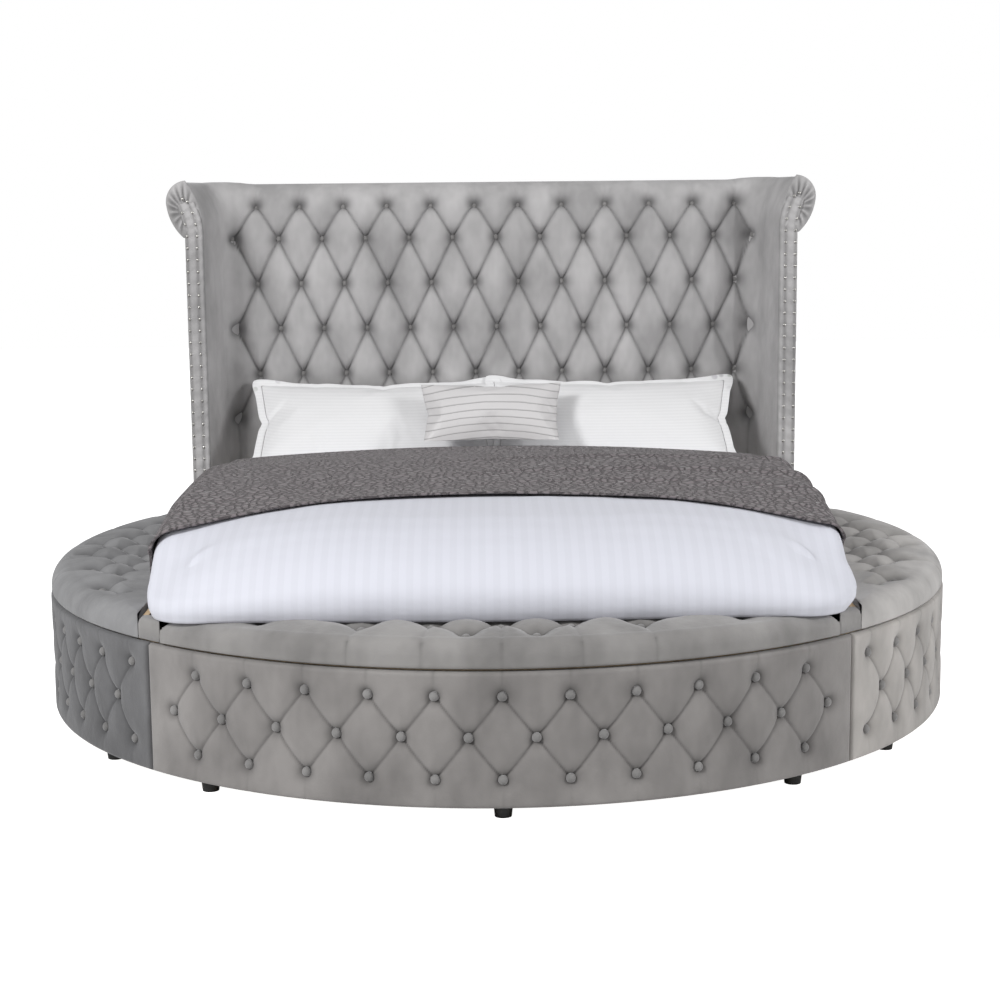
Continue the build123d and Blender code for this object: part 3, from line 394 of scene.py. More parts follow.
def smooth_step(value, low, high):
    """A smooth rise from 0 to 1 between two values."""
    share = np.clip((value - low) / (high - low), 0, 1)
    return share * share * (3 - 2 * share)


def near_segment(x, y, x0, y0, x1, y1, margin):
    """Points within a margin of a segment's box."""
    inside_x = (x > min(x0, x1) - margin) & (x < max(x0, x1) + margin)
    return inside_x & (y > min(y0, y1) - margin) & (y < max(y0, y1) + margin)


def relief(x, y, buttons, folds, crown, reach, crease, width, dimple, radius):
    """Height of tufted padding over its fold level, and the painted shade at each point, darkest in the folds
    and round the buttons.

    A fold is (x0, y0, x1, y1, depth at its start, depth at its end), with depths as shares of crease.
    """
    nearest = np.full(x.shape, reach)
    sunk = np.zeros(x.shape)
    for x0, y0, x1, y1, first, last in folds:
        near = near_segment(x, y, x0, y0, x1, y1, reach)
        px, py = x[near] - x0, y[near] - y0
        dx, dy = x1 - x0, y1 - y0
        t = np.clip((px * dx + py * dy) / (dx * dx + dy * dy), 0, 1)
        gap = np.hypot(px - t * dx, py - t * dy)
        if first > 0.6:
            fade = reach * (1 - last) * t if last < 0.6 else 0.0
            nearest[near] = np.minimum(nearest[near], gap + fade)
        depth = first * (1 - t) ** 3 + last * t**3 + 0.35 * min(first, last)
        sunk[near] = np.maximum(sunk[near], np.minimum(depth, 1) * np.exp(-((gap / width) ** 1.5)))
    height = crown * (1 - (1 - np.clip(nearest / reach, 0, 1)) ** 2) - crease * sunk
    # Painted shade along each fold, as deep as the fold is sunk.
    shade = 0.85 * sunk
    for bx, by in buttons:
        near = near_segment(x, y, bx, by, bx, by, 4 * radius)
        gap = np.hypot(x[near] - bx, y[near] - by)
        height[near] -= dimple * np.exp(-((gap / radius) ** 1.4))
        # Painted shade round each button's dimple.
        shade[near] = np.maximum(shade[near], 0.9 * np.exp(-((gap / (0.95 * radius)) ** 2)))
    return height, np.clip(shade, 0, 1)


def diamond_folds(rows, reach):
    """Folds between each row's buttons and the next row's buttons that lie within reach."""
    folds = []
    for upper, lower in zip(rows[:-1], rows[1:]):
        for x0, y0 in upper:
            for x1, y1 in lower:
                if math.hypot(x1 - x0, y1 - y0) < reach:
                    folds.append((x0, y0, x1, y1, 1.0, 1.0))
    return folds


def wrinkles(buttons, most, low, high, length):
    """Small folds that run out of each button between two angles."""
    folds = []
    for bx, by in buttons:
        for _ in range(rng.integers(1, most + 1)):
            angle = math.radians(rng.uniform(low, high))
            run = length * rng.uniform(0.45, 1.25)
            depth = rng.uniform(0.25, 0.55)
            folds.append((bx, by, bx + run * math.cos(angle), by + run * math.sin(angle), depth, 0.0))
    return folds


def soft_noise(points, scale, seed):
    """Smooth noise at each point, about -1 to 1."""
    shift = Vector((seed * 3.1, seed * 1.7, seed * 2.3))
    return np.array([noise.noise(Vector(p) * scale + shift) for p in points])


# Camera at the photograph's viewing angle
camera_place = Vector((-0.0384, -5.4342, 1.3879))
camera_pitch = 0.1529
camera_yaw = 0.009
camera_roll = -0.010
focal_share = 1.8957
sensor_width = 36.0
view_end = 60.0


def make_camera():
    """The scene's camera, from its place, its turns and its focal length in image widths."""
    data = bpy.data.cameras.new("camera")
    data.sensor_width = sensor_width
    data.lens = focal_share * sensor_width
    data.clip_end = view_end
    made = add_object("camera", data)
    level = math.cos(camera_pitch)
    ahead = Vector((math.sin(camera_yaw) * level, math.cos(camera_yaw) * level, -math.sin(camera_pitch)))
    right = Vector((math.cos(camera_yaw), -math.sin(camera_yaw), 0))
    up = right.cross(ahead)
    turned_right = right * math.cos(camera_roll) + up * math.sin(camera_roll)
    turned_up = up * math.cos(camera_roll) - right * math.sin(camera_roll)
    turn = Matrix((turned_right, turned_up, -ahead)).transposed().to_4x4()
    made.matrix_world = Matrix.Translation(camera_place) @ turn
    scene.camera = made


make_camera()


# Tufted bench covers
cover_fold_level = ring - 0.0085
cover_back_radius = ring - 0.0255
cover_round = 0.010
button_seat = 0.0165


def edge_inset(gap, radius):
    """How far a rounded edge falls back at a distance from the border."""
    short = np.clip(radius - gap, 0, radius)
    return radius - np.sqrt(radius**2 - short**2)


def bench_cover(name, start, end, outer_angles, middle_angles, look, side=1):
    """A bench's padded front, between two angles from the foot of the bed."""
    count = int((end - start) * ring / fine)
    angles = np.linspace(start, end, count)
    heights = np.linspace(cover_low + 0.0005, cover_high, int((cover_high - cover_low) / fine))
    a, z = np.meshgrid(angles, heights, indexing="ij")
    top, middle, bottom = cover_rows
    rows = [
        [(ring * t, top) for t in outer_angles],
        [(ring * t, middle) for t in middle_angles],
        [(ring * t, bottom) for t in outer_angles],
    ]
    buttons = sum(rows, [])
    folds = diamond_folds(rows, 0.14)
    for t in outer_angles:
        folds.append((ring * t, top, ring * t, cover_high, 0.5, 0.3))
        folds.append((ring * t, bottom, ring * t, cover_low, 0.5, 0.2))
    folds += wrinkles(buttons, 4, 0, 180, 0.034)
    folds += wrinkles(buttons, 3, 180, 360, 0.028)
    height, shade = relief(
        ring * a, z, buttons, folds,
        crown=0.0055, reach=0.050, crease=0.0035, width=0.0034, dimple=0.014, radius=0.020,
    )
    gap = np.minimum(np.minimum(z - heights[0], heights[-1] - z), ring * np.minimum(a - start, end - a))
    radius = cover_fold_level + height - edge_inset(gap, cover_round)
    front = stack(side * radius * np.sin(a), -radius * np.cos(a), z)
    inner = [
        stack(side * cover_back_radius * np.sin(angles), -cover_back_radius * np.cos(angles), level)
        for level in (heights[-1] - 0.001, heights[0] + 0.001)
    ]
    grid = np.concatenate([front, np.stack(inner, 1)], axis=1)
    painted_shade_and_print = np.concatenate([shade, np.zeros((count, 2))], axis=1)
    made = tube(name, grid, look, painted_shade_and_print)
    places = []
    for along, level in buttons:
        t = along / ring
        out = Vector((side * math.sin(t), -math.cos(t), 0))
        places.append((out * (ring - button_seat) + Vector((0, 0, level)), out))
    return made, places


def domes(name, places, radius, height, look, sides=20, rings=5):
    """Domed buttons or nail heads, each a closed cap that faces along its direction."""
    points, faces = [], []
    for centre, out in places:
        turn = out.to_track_quat("Z", "Y").to_matrix()
        start = len(points)
        points.append(centre)
        for k in range(rings + 1):
            lift = math.sin(math.pi / 2 * k / rings)
            reach = radius * math.cos(math.pi / 2 * min(k / rings, 0.97))
            for i in range(sides):
                spin = 2 * math.pi * i / sides
                local = Vector((reach * math.cos(spin), reach * math.sin(spin), height * lift))
                points.append(centre + turn @ local)
        for i in range(sides):
            faces.append((start, start + 1 + (i + 1) % sides, start + 1 + i))
        for k in range(rings):
            for i in range(sides):
                low = start + 1 + k * sides
                j = (i + 1) % sides
                faces.append((low + i, low + j, low + sides + j, low + sides + i))
        top = start + 1 + rings * sides
        faces.append(tuple(top + i for i in range(sides)))
    return mesh_object(name, points, faces, look)


seam_angle = math.asin(seam / ring)
seam_gap = 0.0022
tail_angle = math.acos(-side_tail / ring)
foot_outer = [foot_tuft_angle * i for i in range(-foot_tuft_half, foot_tuft_half + 1)]
foot_middle = [foot_tuft_angle * (i + 0.5) for i in range(-foot_tuft_half - 1, foot_tuft_half + 1)]
side_outer = [side_tuft_first + side_tuft_angle * i for i in range(side_tuft_columns)]
side_middle = [angle + side_tuft_angle / 2 for angle in side_outer[:-1]]
button_radius = 0.0118
button_height = 0.0105

cover, places = bench_cover(
    "foot_cover", seam_gap - seam_angle, seam_angle - seam_gap, foot_outer, foot_middle, foot_bench_shaded_velvet
)
stands_for(cover, "root", "velvet", "foot_bench_cover")
buttons = domes("foot_cover_buttons", places, button_radius, button_height, button_velvet)
stands_for(buttons, "root", "velvet_button", "foot_bench_buttons")
for side, word, look in ((1, "right", right_bench_lit_velvet), (-1, "left", left_bench_shaded_velvet)):
    cover, places = bench_cover(
        f"{word}_cover", seam_angle + seam_gap, tail_angle, side_outer, side_middle, look, side
    )
    stands_for(cover, "root", "velvet", f"{word}_bench_cover")
    buttons = domes(f"{word}_cover_buttons", places, button_radius, button_height, button_velvet)
    stands_for(buttons, "root", "velvet_button", f"{word}_bench_buttons")


# Lids: a radial profile swept round the bed's centre and cut by the hinge plane
def lid_profile(count, face, crest, crest_set, ridge, inner, back_rise):
    """Points (radius, height, unrolled radius) from the bottom of the face to the inner edge."""
    points = []
    crest_radius = lid_radius - crest_set
    bottom = lid_line + 0.0006
    arc_run = math.pi / 2 * math.sqrt((crest_set**2 + (crest - face) ** 2) / 2)
    face_run = face - bottom
    for share in np.linspace(0, 1, max(4, int(face_run / fine)), endpoint=False):
        level = bottom + face_run * share
        points.append((lid_radius, level, crest_radius + arc_run + face_run * (1 - share)))
    for share in np.linspace(0, 1, int(arc_run / fine), endpoint=False):
        turn = share * math.pi / 2
        level = face + (crest - face) * math.sin(turn)
        radius = crest_radius + crest_set * math.cos(turn)
        points.append((radius, level, crest_radius + arc_run * (1 - share)))
    span = crest_radius - inner
    for share in np.linspace(0, 1, count):
        radius = crest_radius - span * share
        climb = math.sin(math.pi / 2 * min(1.0, span * share / ridge_run))
        fall = max(0.0, (span * share - ridge_run) / (span - ridge_run))
        points.append((radius, crest + (ridge - crest) * climb - (ridge - back_rise) * fall, radius))
    return np.array(points)


def lid_cushion(name, start, end, back, shape, rows, look, turn, pressed=math.inf, hinge_level=math.inf):
    """A lid's tufted cushion. Angles run from its middle, and turn maps its own axes to the bed's.

    Where the comforter lies on it, it is pressed down to one level, and it rises from another at its hinge.
    """
    face, crest, crest_set, ridge, back_height, end_height = shape
    along = np.arange(start, end, fine * 1.15 / lid_radius)
    count = int((lid_radius - crest_set - back) / fine)
    profile = lid_profile(count, face, crest, crest_set, ridge, back, back_height)

    def end_scale(x):
        """How the cushion's height changes from its middle towards its ends."""
        return 1 + (end_height - crest) / (crest - lid_line) * (np.abs(x) / lid_half_run) ** 2

    buttons, levels = [], []
    for k, out in enumerate(rows):
        shift = 0.0 if k % 2 else lid_pitch / 2
        level = []
        for i in range(-9, 10):
            x = i * lid_pitch + shift
            angle = math.atan2(x, out)
            if math.hypot(x, out) < lid_radius - lid_button_margin and start < angle < end:
                level.append((x, out))
        levels.append(level)
        buttons += level
    folds = diamond_folds(levels, 0.125)
    for x, out in levels[1]:
        length = math.hypot(x, out)
        near, far = lid_radius - 0.008, lid_radius + 0.060
        rim_x, rim_y = x * near / length, out * near / length
        folds.append((x, out, rim_x, rim_y, 0.9, 0.2))
        folds.append((rim_x, rim_y, x * far / length, out * far / length, 0.5, 0.4))
    for x, out in levels[0]:
        length = math.hypot(x, out)
        near = lid_radius - 0.030
        folds.append((x, out, x * near / length, out * near / length, 0.6, 0.0))
    folds += wrinkles(buttons, 5, 0, 360, 0.034)
    a, k = np.meshgrid(along, np.arange(len(profile)), indexing="ij")
    radius, height, flat = profile[k, 0], profile[k, 1], profile[k, 2]
    limit = np.maximum(back / np.cos(a), 0)
    cut = radius < limit + 0.0005
    radius = np.maximum(radius, limit)
    flat_x, flat_y = flat * np.sin(a), flat * np.cos(a)
    rise, shade = relief(
        flat_x, flat_y, buttons, folds,
        crown=0.018, reach=0.056, crease=0.0045, width=0.0042, dimple=0.017, radius=0.026,
    )
    tip = np.minimum(a - along[0], along[-1] - a) * lid_radius
    ease = np.clip((radius - limit) / 0.05, 0, 1) * np.clip(tip / 0.02, 0, 1)
    rise = rise * ease + 0.014 * (1 - ease)
    height = lid_line + (height - lid_line) * end_scale(radius * np.sin(a))
    drop = edge_inset(np.minimum(radius - limit + 0.001, tip + 0.001), 0.012) * (k > 0)
    slope = np.gradient(profile[:, 1]), np.gradient(profile[:, 0])
    normal_out = np.clip(slope[0] / np.hypot(*slope), 0, 1)[k]
    normal_up = np.sqrt(1 - normal_out**2)
    out_radius = radius + (rise - 0.016) * normal_out * (k > 0)
    level = height + (rise - 0.009) * normal_up - drop
    level = np.maximum(level, lid_line + 0.0005)
    level = np.where(out_radius < pressed_reach, np.minimum(level, pressed), level)
    level = np.minimum(level, hinge_level + hinge_slope * (out_radius * np.cos(a) - back))
    top = stack(out_radius * np.sin(a), np.maximum(out_radius * np.cos(a), back), level)
    lower = top[:, -1].copy()
    lower[:, 2] = lid_line + 0.0005
    grid = np.concatenate([top, lower[:, None]], axis=1)
    shade = np.where(cut, 0, shade)
    painted_shade_and_print = np.concatenate([shade, np.zeros((len(along), 1))], axis=1)
    made = tube(name, turn(grid), look, painted_shade_and_print)
    places = []
    for bx, by in buttons:
        seat = np.interp(math.hypot(bx, by), profile[::-1, 0], profile[::-1, 1])
        seat = lid_line + (seat - lid_line) * end_scale(bx)
        place = turn(np.array([[bx, by, seat - button_seat]]))[0]
        places.append((Vector(place), Vector((0, 0, 1))))
    return made, places


ridge_run = 0.100
lid_half_run = 0.836
lid_button_margin = 0.056
pressed_reach = 1.108
hinge_slope = 0.17
# Height of the face and of the crest, the crest's setback, and heights of the ridge, back and ends
foot_shape = (0.384, 0.418, 0.032, 0.434, 0.424, 0.406)
side_shape = (0.372, 0.418, 0.055, 0.430, 0.401, 0.418)
foot_lid_rows = [lid_radius - lid_first_row - lid_row_pitch * i for i in range(3)]
side_lid_rows = [lid_radius - lid_first_row - lid_row_pitch * i for i in range(4)]
foot_half = math.acos(-foot_lid_back / lid_radius) - 0.002
side_half = math.acos(side_lid_back / lid_radius) - 0.002
tail_half = math.asin(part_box("right_lid_cushion")[1].y / lid_radius)


def to_foot(points):
    """From the lid's own axes (along, out, up) to the foot of the bed."""
    return stack(points[..., 0], -points[..., 1], points[..., 2])


cushion, places = lid_cushion(
    "foot_lid_top", -foot_half, foot_half, -foot_lid_back, foot_shape,
    foot_lid_rows, foot_lid_shaded_velvet, to_foot, pressed=0.4302,
)
stands_for(cushion, "foot_lid", "velvet", "foot_lid_cushion")
buttons = domes("foot_lid_top_buttons", places, button_radius, button_height, button_velvet)
stands_for(buttons, "foot_lid", "velvet_button", "foot_lid_buttons")
for side, word, lid_look in ((1, "right", right_lid_lit_velvet), (-1, "left", left_lid_shaded_velvet)):
    def to_side(points, side=side):
        """From the lid's own axes to one side of the bed."""
        return stack(side * points[..., 1], points[..., 0], points[..., 2])

    cushion, places = lid_cushion(
        f"{word}_lid_top", -side_half, tail_half, side_lid_back, side_shape,
        side_lid_rows, lid_look, to_side, hinge_level=0.418,
    )
    stands_for(cushion, f"{word}_lid", "velvet", f"{word}_lid_cushion")
    buttons = domes(f"{word}_lid_top_buttons", places, button_radius, button_height, button_velvet)
    stands_for(buttons, f"{word}_lid", "velvet_button", f"{word}_lid_buttons")


# Headboard: one tufted sheet across the panel, round both corners and along the wings
corner_x = 0.902
corner_radius = 0.050
wing_edge_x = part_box("right_wing_band")[0].x - 0.002
panel_fold_level = 0.012
tuft_limit = 0.93


def plan_path():
    """Points and setback directions from the middle to the right wing's edge, and the way to each."""
    slant = Vector((wing_edge_x - corner_x, wing_front - pad_front))
    length = slant.length
    slant.normalize()
    turn = math.acos(slant.x)
    tangent = corner_radius * math.tan(turn / 2)
    flat_end = corner_x - tangent
    centre = Vector((flat_end, pad_front - corner_radius))
    path = []
    for x in np.linspace(0, flat_end, int(flat_end / fine), endpoint=False):
        path.append((x, pad_front, 0.0, 1.0))
    for a in np.linspace(0, turn, 12, endpoint=False):
        out_x, out_y = math.sin(a), math.cos(a)
        path.append((centre.x + corner_radius * out_x, centre.y + corner_radius * out_y, out_x, out_y))
    run = length - tangent
    start = Vector((corner_x, pad_front)) + slant * tangent
    for share in np.linspace(0, 1, int(run / (fine * 1.3))):
        point = start + slant * (run * share)
        path.append((point.x, point.y, -slant.y, slant.x))
    path = np.array(path)
    steps = np.hypot(np.diff(path[:, 0]), np.diff(path[:, 1]))
    travelled = np.concatenate([[0], np.cumsum(steps)])
    return path, travelled


def arc_points(first, through, last, count):
    """Points on the circle through three points, from the first up to but not with the last."""
    a, b, c = (np.array(p, float) for p in (first, through, last))
    d = 2 * (a[0] * (b[1] - c[1]) + b[0] * (c[1] - a[1]) + c[0] * (a[1] - b[1]))
    squares = [float(p @ p) for p in (a, b, c)]
    ux = (squares[0] * (b[1] - c[1]) + squares[1] * (c[1] - a[1]) + squares[2] * (a[1] - b[1])) / d
    uy = (squares[0] * (c[0] - b[0]) + squares[1] * (a[0] - c[0]) + squares[2] * (b[0] - a[0])) / d
    centre = np.array([ux, uy])
    angle = [math.atan2(*(p - centre)[::-1]) for p in (a, b, c)]
    span = (angle[2] - angle[0]) % (2 * math.pi)
    if (angle[1] - angle[0]) % (2 * math.pi) > span:
        span -= 2 * math.pi
    radius = np.linalg.norm(a - centre)
    turns = angle[0] + span * np.arange(count) / count
    return stack(centre[0] + radius * np.cos(turns), centre[1] + radius * np.sin(turns))


def upright_profile(low, bend, curls, inside, counts):
    """A profile (setback, height): upright to a bend, then arcs, then points inside the board."""
    parts = [stack(0.0, np.linspace(low, bend, counts[0], endpoint=False))]
    start = (0.0, bend)
    for (through, end), count in zip(curls, counts[1:]):
        parts.append(arc_points(start, through, end, count))
        start = end
    parts.append(np.array([start, *inside]))
    return np.concatenate(parts)


def headboard_sheet():
    """The headboard's tufted upholstery, from one wing's front edge to the other's."""
    half, travelled = plan_path()
    rows = int((1.29 - pad_low) / (fine * 1.05))
    counts = (rows, 30, 26, 22)
    panel = upright_profile(
        pad_low,
        1.385,
        [
            ((0.026, 1.442), (0.082, 1.475)),
            ((0.130, 1.442), (0.158, 1.390)),
            ((0.143, 1.352), (0.108, 1.323)),
        ],
        [(0.060, 1.322), (0.044, 1.316), (0.037, 1.28), (0.037, pad_low + 0.002)],
        counts,
    )
    wing = upright_profile(
        pad_low,
        1.290,
        [
            ((0.010, 1.395), (0.058, 1.489)),
            ((0.102, 1.465), (0.119, 1.405)),
            ((0.100, 1.347), (0.063, 1.299)),
        ],
        [(0.050, 1.297), (0.034, 1.294), (0.020, 1.26), (0.020, pad_low + 0.002)],
        counts,
    )
    detailed = sum(counts)
    for shape in (panel, wing):
        kernel = np.hanning(17)
        kernel /= kernel.sum()
        last = np.repeat(shape[detailed : detailed + 1], 8, 0)
        padded = np.concatenate([np.repeat(shape[:1], 8, 0), shape[: detailed + 1], last])
        for axis in (0, 1):
            eased = np.convolve(padded[:, axis], kernel, "valid")
            shape[10 : detailed - 4, axis] = eased[10 : detailed - 4]
    x = np.concatenate([-half[::-1, 0], half[1:, 0]])
    y = np.concatenate([half[::-1, 1], half[1:, 1]])
    out_x = np.concatenate([-half[::-1, 2], half[1:, 2]])
    out_y = np.concatenate([half[::-1, 3], half[1:, 3]])
    across = np.concatenate([-travelled[::-1], travelled[1:]])
    share = smooth_step(np.abs(across), 0.80, tuft_limit)
    profile = panel[None] * (1 - share[:, None, None]) + wing[None] * share[:, None, None]
    setback, height = profile[..., 0], profile[..., 1]
    step = np.hypot(np.diff(setback, axis=1), np.diff(height, axis=1))
    climb = pad_low + np.concatenate([np.zeros((len(x), 1)), np.cumsum(step, axis=1)], axis=1)
    rows_of_buttons = []
    for k, level in enumerate(head_rows):
        shift = 0.0 if k % 2 else 0.5
        row = []
        for i in range(-head_columns, head_columns + (k % 2)):
            place = (i + shift) * head_pitch + head_shift
            row.append((max(-head_last_button, min(head_last_button, place)), level))
        rows_of_buttons.append(row)
    buttons = sum(rows_of_buttons, [])
    folds = diamond_folds(rows_of_buttons, 0.20)
    for bx, level in rows_of_buttons[0]:
        folds.append((bx, level, bx, level + 0.085, 1.0, 0.05))
        for _ in range(7):
            end_x = bx + rng.uniform(-0.05, 0.05)
            folds.append((bx, level, end_x, level + rng.uniform(0.04, 0.11), 0.6, 0.0))
    for bx, level in rows_of_buttons[-1]:
        folds.append((bx, level, bx, level - 0.15, 1.0, 0.4))
    folds += wrinkles(buttons, 6, 45, 135, 0.050)
    folds += wrinkles(buttons, 5, 0, 360, 0.032)
    flat = np.broadcast_to(across[:, None], climb.shape)
    rise, shade = relief(
        flat, climb, buttons, folds,
        crown=0.0175, reach=0.062, crease=0.0070, width=0.0050, dimple=0.023, radius=0.026,
    )
    level_share = np.clip((tuft_limit - np.abs(flat)) / 0.05, 0, 1)
    rise = rise * level_share + 0.010 * (1 - level_share)
    shade = shade * level_share
    rise[:, detailed:] = panel_fold_level
    shade[:, detailed:] = 0
    tail = np.clip((detailed - np.arange(climb.shape[1])) / 16, 0, 1)
    rise = panel_fold_level + (rise - panel_fold_level) * tail
    base = stack(x[:, None] + out_x[:, None] * setback, y[:, None] + out_y[:, None] * setback, height)
    along = np.gradient(base, axis=0)
    upward = np.gradient(base, axis=1)
    normal = np.cross(along, upward)
    normal /= np.linalg.norm(normal, axis=-1, keepdims=True) + 1e-12
    base += normal * (rise - panel_fold_level)[..., None]
    made = tube("headboard_upholstery", base, headboard_velvet, shade)
    places = []
    for bx, level in buttons:
        column = int(np.argmin(np.abs(across - bx)))
        row = int(np.argmin(np.abs(climb[column, :detailed] - level)))
        spot = Vector(base[column, row]) + Vector(normal[column, row]) * 0.001
        places.append((spot, Vector(normal[column, row])))
    return made, places


upholstery, places = headboard_sheet()
stands_for(upholstery, "root", "velvet", "headboard_tufting", "headboard_roll_ends")
buttons = domes("headboard_button_caps", places, button_radius, button_height, button_velvet)
stands_for(buttons, "root", "velvet_button", "headboard_buttons")


# Wings: outer shell, pleated scroll end, padded front band and nail heads
wing_thick = 0.064
band_foot = 0.300
band_bend = 1.290
nail_radius = 0.0056
nail_height = 0.0034


def wing_shell(side, word):
    """The wing's front, outer side and back below its scroll."""
    shift = (corner_x - wing_edge_x) / (pad_front - wing_front)
    rear = wing_back + 0.002
    depth = rear - wing_front
    front_inner = wing_edge_x + 0.004
    front_outer = wing_edge_x + wing_thick
    back_outer = front_outer + shift * depth
    back_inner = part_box("right_wing_padding")[0].x + 0.002
    corners = [
        (front_inner, wing_front + 0.001),
        (front_outer, wing_front + 0.001),
        (back_outer, rear),
        (back_inner, rear),
        (back_inner, pad_front + 0.012),
        (corner_x + 0.020, pad_front + 0.006),
    ]
    shape = bmesh.new()
    levels = np.linspace(wing_low, 1.300, 40)
    loops = []
    for level in levels:
        loops.append([shape.verts.new((side * x, y, level)) for x, y in corners])
    for low, high in zip(loops[:-1], loops[1:]):
        for i in range(len(corners)):
            j = (i + 1) % len(corners)
            shape.faces.new((low[i], low[j], high[j], high[i]))
    shape.faces.new(loops[0])
    shape.faces.new(loops[-1])
    made = from_shape(f"{word}_wing_shell", shape, headboard_velvet)
    soften = made.modifiers.new("edges", "BEVEL")
    soften.width = 0.007
    soften.segments = 3
    soften.limit_method = "ANGLE"
    soften.angle_limit = math.radians(40)
    return made


def scroll_end(side, word):
    """The gathered end of the scroll, pleated from its rim towards the band."""
    rim = np.concatenate(
        [
            arc_points((0.004, 1.300), (0.012, 1.395), (0.058, 1.487), 26),
            arc_points((0.058, 1.487), (0.104, 1.464), (0.121, 1.405), 26),
            arc_points((0.121, 1.405), (0.102, 1.345), (0.063, 1.296), 22),
        ]
    )
    centre = np.array([0.060, 1.385])
    rings = 14
    points, painted_shade_and_print = [], []
    for k in range(rings + 1):
        share = k / rings
        for i, place in enumerate(rim):
            flat = place * (1 - share) + centre * share
            pleat = 0.5 - 0.5 * math.cos(i * 2 * math.pi / 6.2 + 0.6 * math.sin(i * 0.9))
            puff = 0.011 * math.sin(math.pi * min(1, share * 1.5)) * (1 - 0.55 * pleat)
            points.append((side * (wing_edge_x + flat[0]), wing_front + 0.003 - puff, flat[1]))
            # Darker in the pleats' valleys: painted shade.
            painted_shade_and_print.append(0.75 * pleat * math.sin(math.pi * min(1, share * 1.3)))
    count = len(rim)
    faces = grid_faces(rings + 1, count, wrap=True)
    back = len(points)
    points += [(p[0], wing_front + 0.010, p[2]) for p in points[:count]]
    painted_shade_and_print += [0] * count
    for i in range(count):
        j = (i + 1) % count
        faces.append((i, j, back + j, back + i))
    faces.append(list(range(back, back + count)))
    return mesh_object(f"{word}_scroll_end", points, faces, headboard_velvet, painted_shade_and_print)


def band_edge(foot, through, tip, count=240):
    """One edge of the band (across, height), upright from its foot and then curled to its tip."""
    low = int(count * 0.84)
    upright = stack(foot, np.linspace(band_foot, band_bend, low, endpoint=False))
    return np.concatenate([upright, arc_points((foot, band_bend), through, tip, count - low), [tip]])


def front_band(side, word):
    """The padded strip on the wing's front, pinched along its two rows of nails."""
    inner = band_edge(0.002, (0.007, 1.362), (0.034, 1.426))
    outer = band_edge(0.062, (0.067, 1.345), (0.084, 1.406))
    shares = np.linspace(0, 1, 25)
    nail_shares = (0.34, 0.88)
    nail_pitch = 0.039
    nail_seat = wing_front - 0.0052
    rows = []
    painted_shade_and_print = []
    for k in range(len(inner)):
        for share in shares:
            flat = inner[k] * (1 - share) + outer[k] * share
            pinch = sum(math.exp(-(((share - n) / 0.09) ** 2)) for n in nail_shares)
            round_off = min(1.0, 12 * min(share, 1 - share))
            puff = (0.007 - 0.0035 * min(1, pinch)) * round_off
            puff += 0.0012 * math.sin(k * 0.75 + 3 * share) * (1 - pinch * 0.6)
            end = min(1.0, (len(inner) - 1 - k) / 6, k / 3)
            rows.append((side * (wing_edge_x + flat[0]), wing_front - 0.002 - puff * end, flat[1]))
            # Darker where the band is pinched at the nail rows and at its rounded edges: painted shade.
            painted_shade_and_print.append(min(1, 0.45 * pinch + 0.5 * (round_off < 0.4)))
        for share in (1, 0):
            flat = inner[k] * (1 - share) + outer[k] * share
            rows.append((side * (wing_edge_x + flat[0]), wing_front + 0.001, flat[1]))
            painted_shade_and_print.append(0)
    grid = np.array(rows).reshape(len(inner), len(shares) + 2, 3)
    made = tube(f"{word}_front_band", grid, headboard_velvet, np.array(painted_shade_and_print).reshape(grid.shape[:2]))
    places = []
    for n in nail_shares:
        line = inner * (1 - n) + outer * n
        steps = np.concatenate([[0], np.cumsum(np.hypot(*np.diff(line, axis=0).T))])
        for s in np.arange(0.030, steps[-1] + 0.01, nail_pitch):
            flat = [np.interp(s, steps, line[:, i]) for i in (0, 1)]
            centre = Vector((side * (wing_edge_x + flat[0]), nail_seat, flat[1]))
            places.append((centre, Vector((0, -1, 0))))
    tip = Vector((side * (wing_edge_x + 0.066), nail_seat, 1.427))
    places.append((tip, Vector((0, -1, 0))))
    return made, places


for side, word in ((1, "right"), (-1, "left")):
    shell = wing_shell(side, word)
    stands_for(shell, "root", "velvet", f"{word}_wing_padding")
    end = scroll_end(side, word)
    stands_for(end, "root", "velvet")
    band, places = front_band(side, word)
    stands_for(band, "root", "velvet", f"{word}_wing_band")
    nails = domes(f"{word}_nail_heads", places, nail_radius, nail_height, nickel, sides=16, rings=4)
    stands_for(nails, "root", "nailhead", f"{word}_wing_nails")


# Mattress and back cover
def rounded_block(name, low, high, edge, look):
    """A block with rounded edges."""
    size = Vector(high) - Vector(low)
    shape = bmesh.new()
    bmesh.ops.create_cube(shape, size=1.0)
    for vert in shape.verts:
        vert.co = Vector(low) + Vector([(c + 0.5) * s for c, s in zip(vert.co, size)])
    bmesh.ops.bevel(
        shape, geom=shape.edges[:] + shape.verts[:], offset=edge, segments=5, profile=0.6, affect="EDGES"
    )
    return from_shape(name, shape, look)


back_low, back_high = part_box("headboard_back")
back_panel = rounded_block("headboard_back_cover", back_low, back_high, 0.004, lining)
stands_for(back_panel, "root", "velvet", "headboard_back")
mattress_edge = 0.080
mattress = rounded_block("mattress_body", mattress_low, mattress_high, mattress_edge, ticking)
stands_for(mattress, "root", "mattress", "mattress")


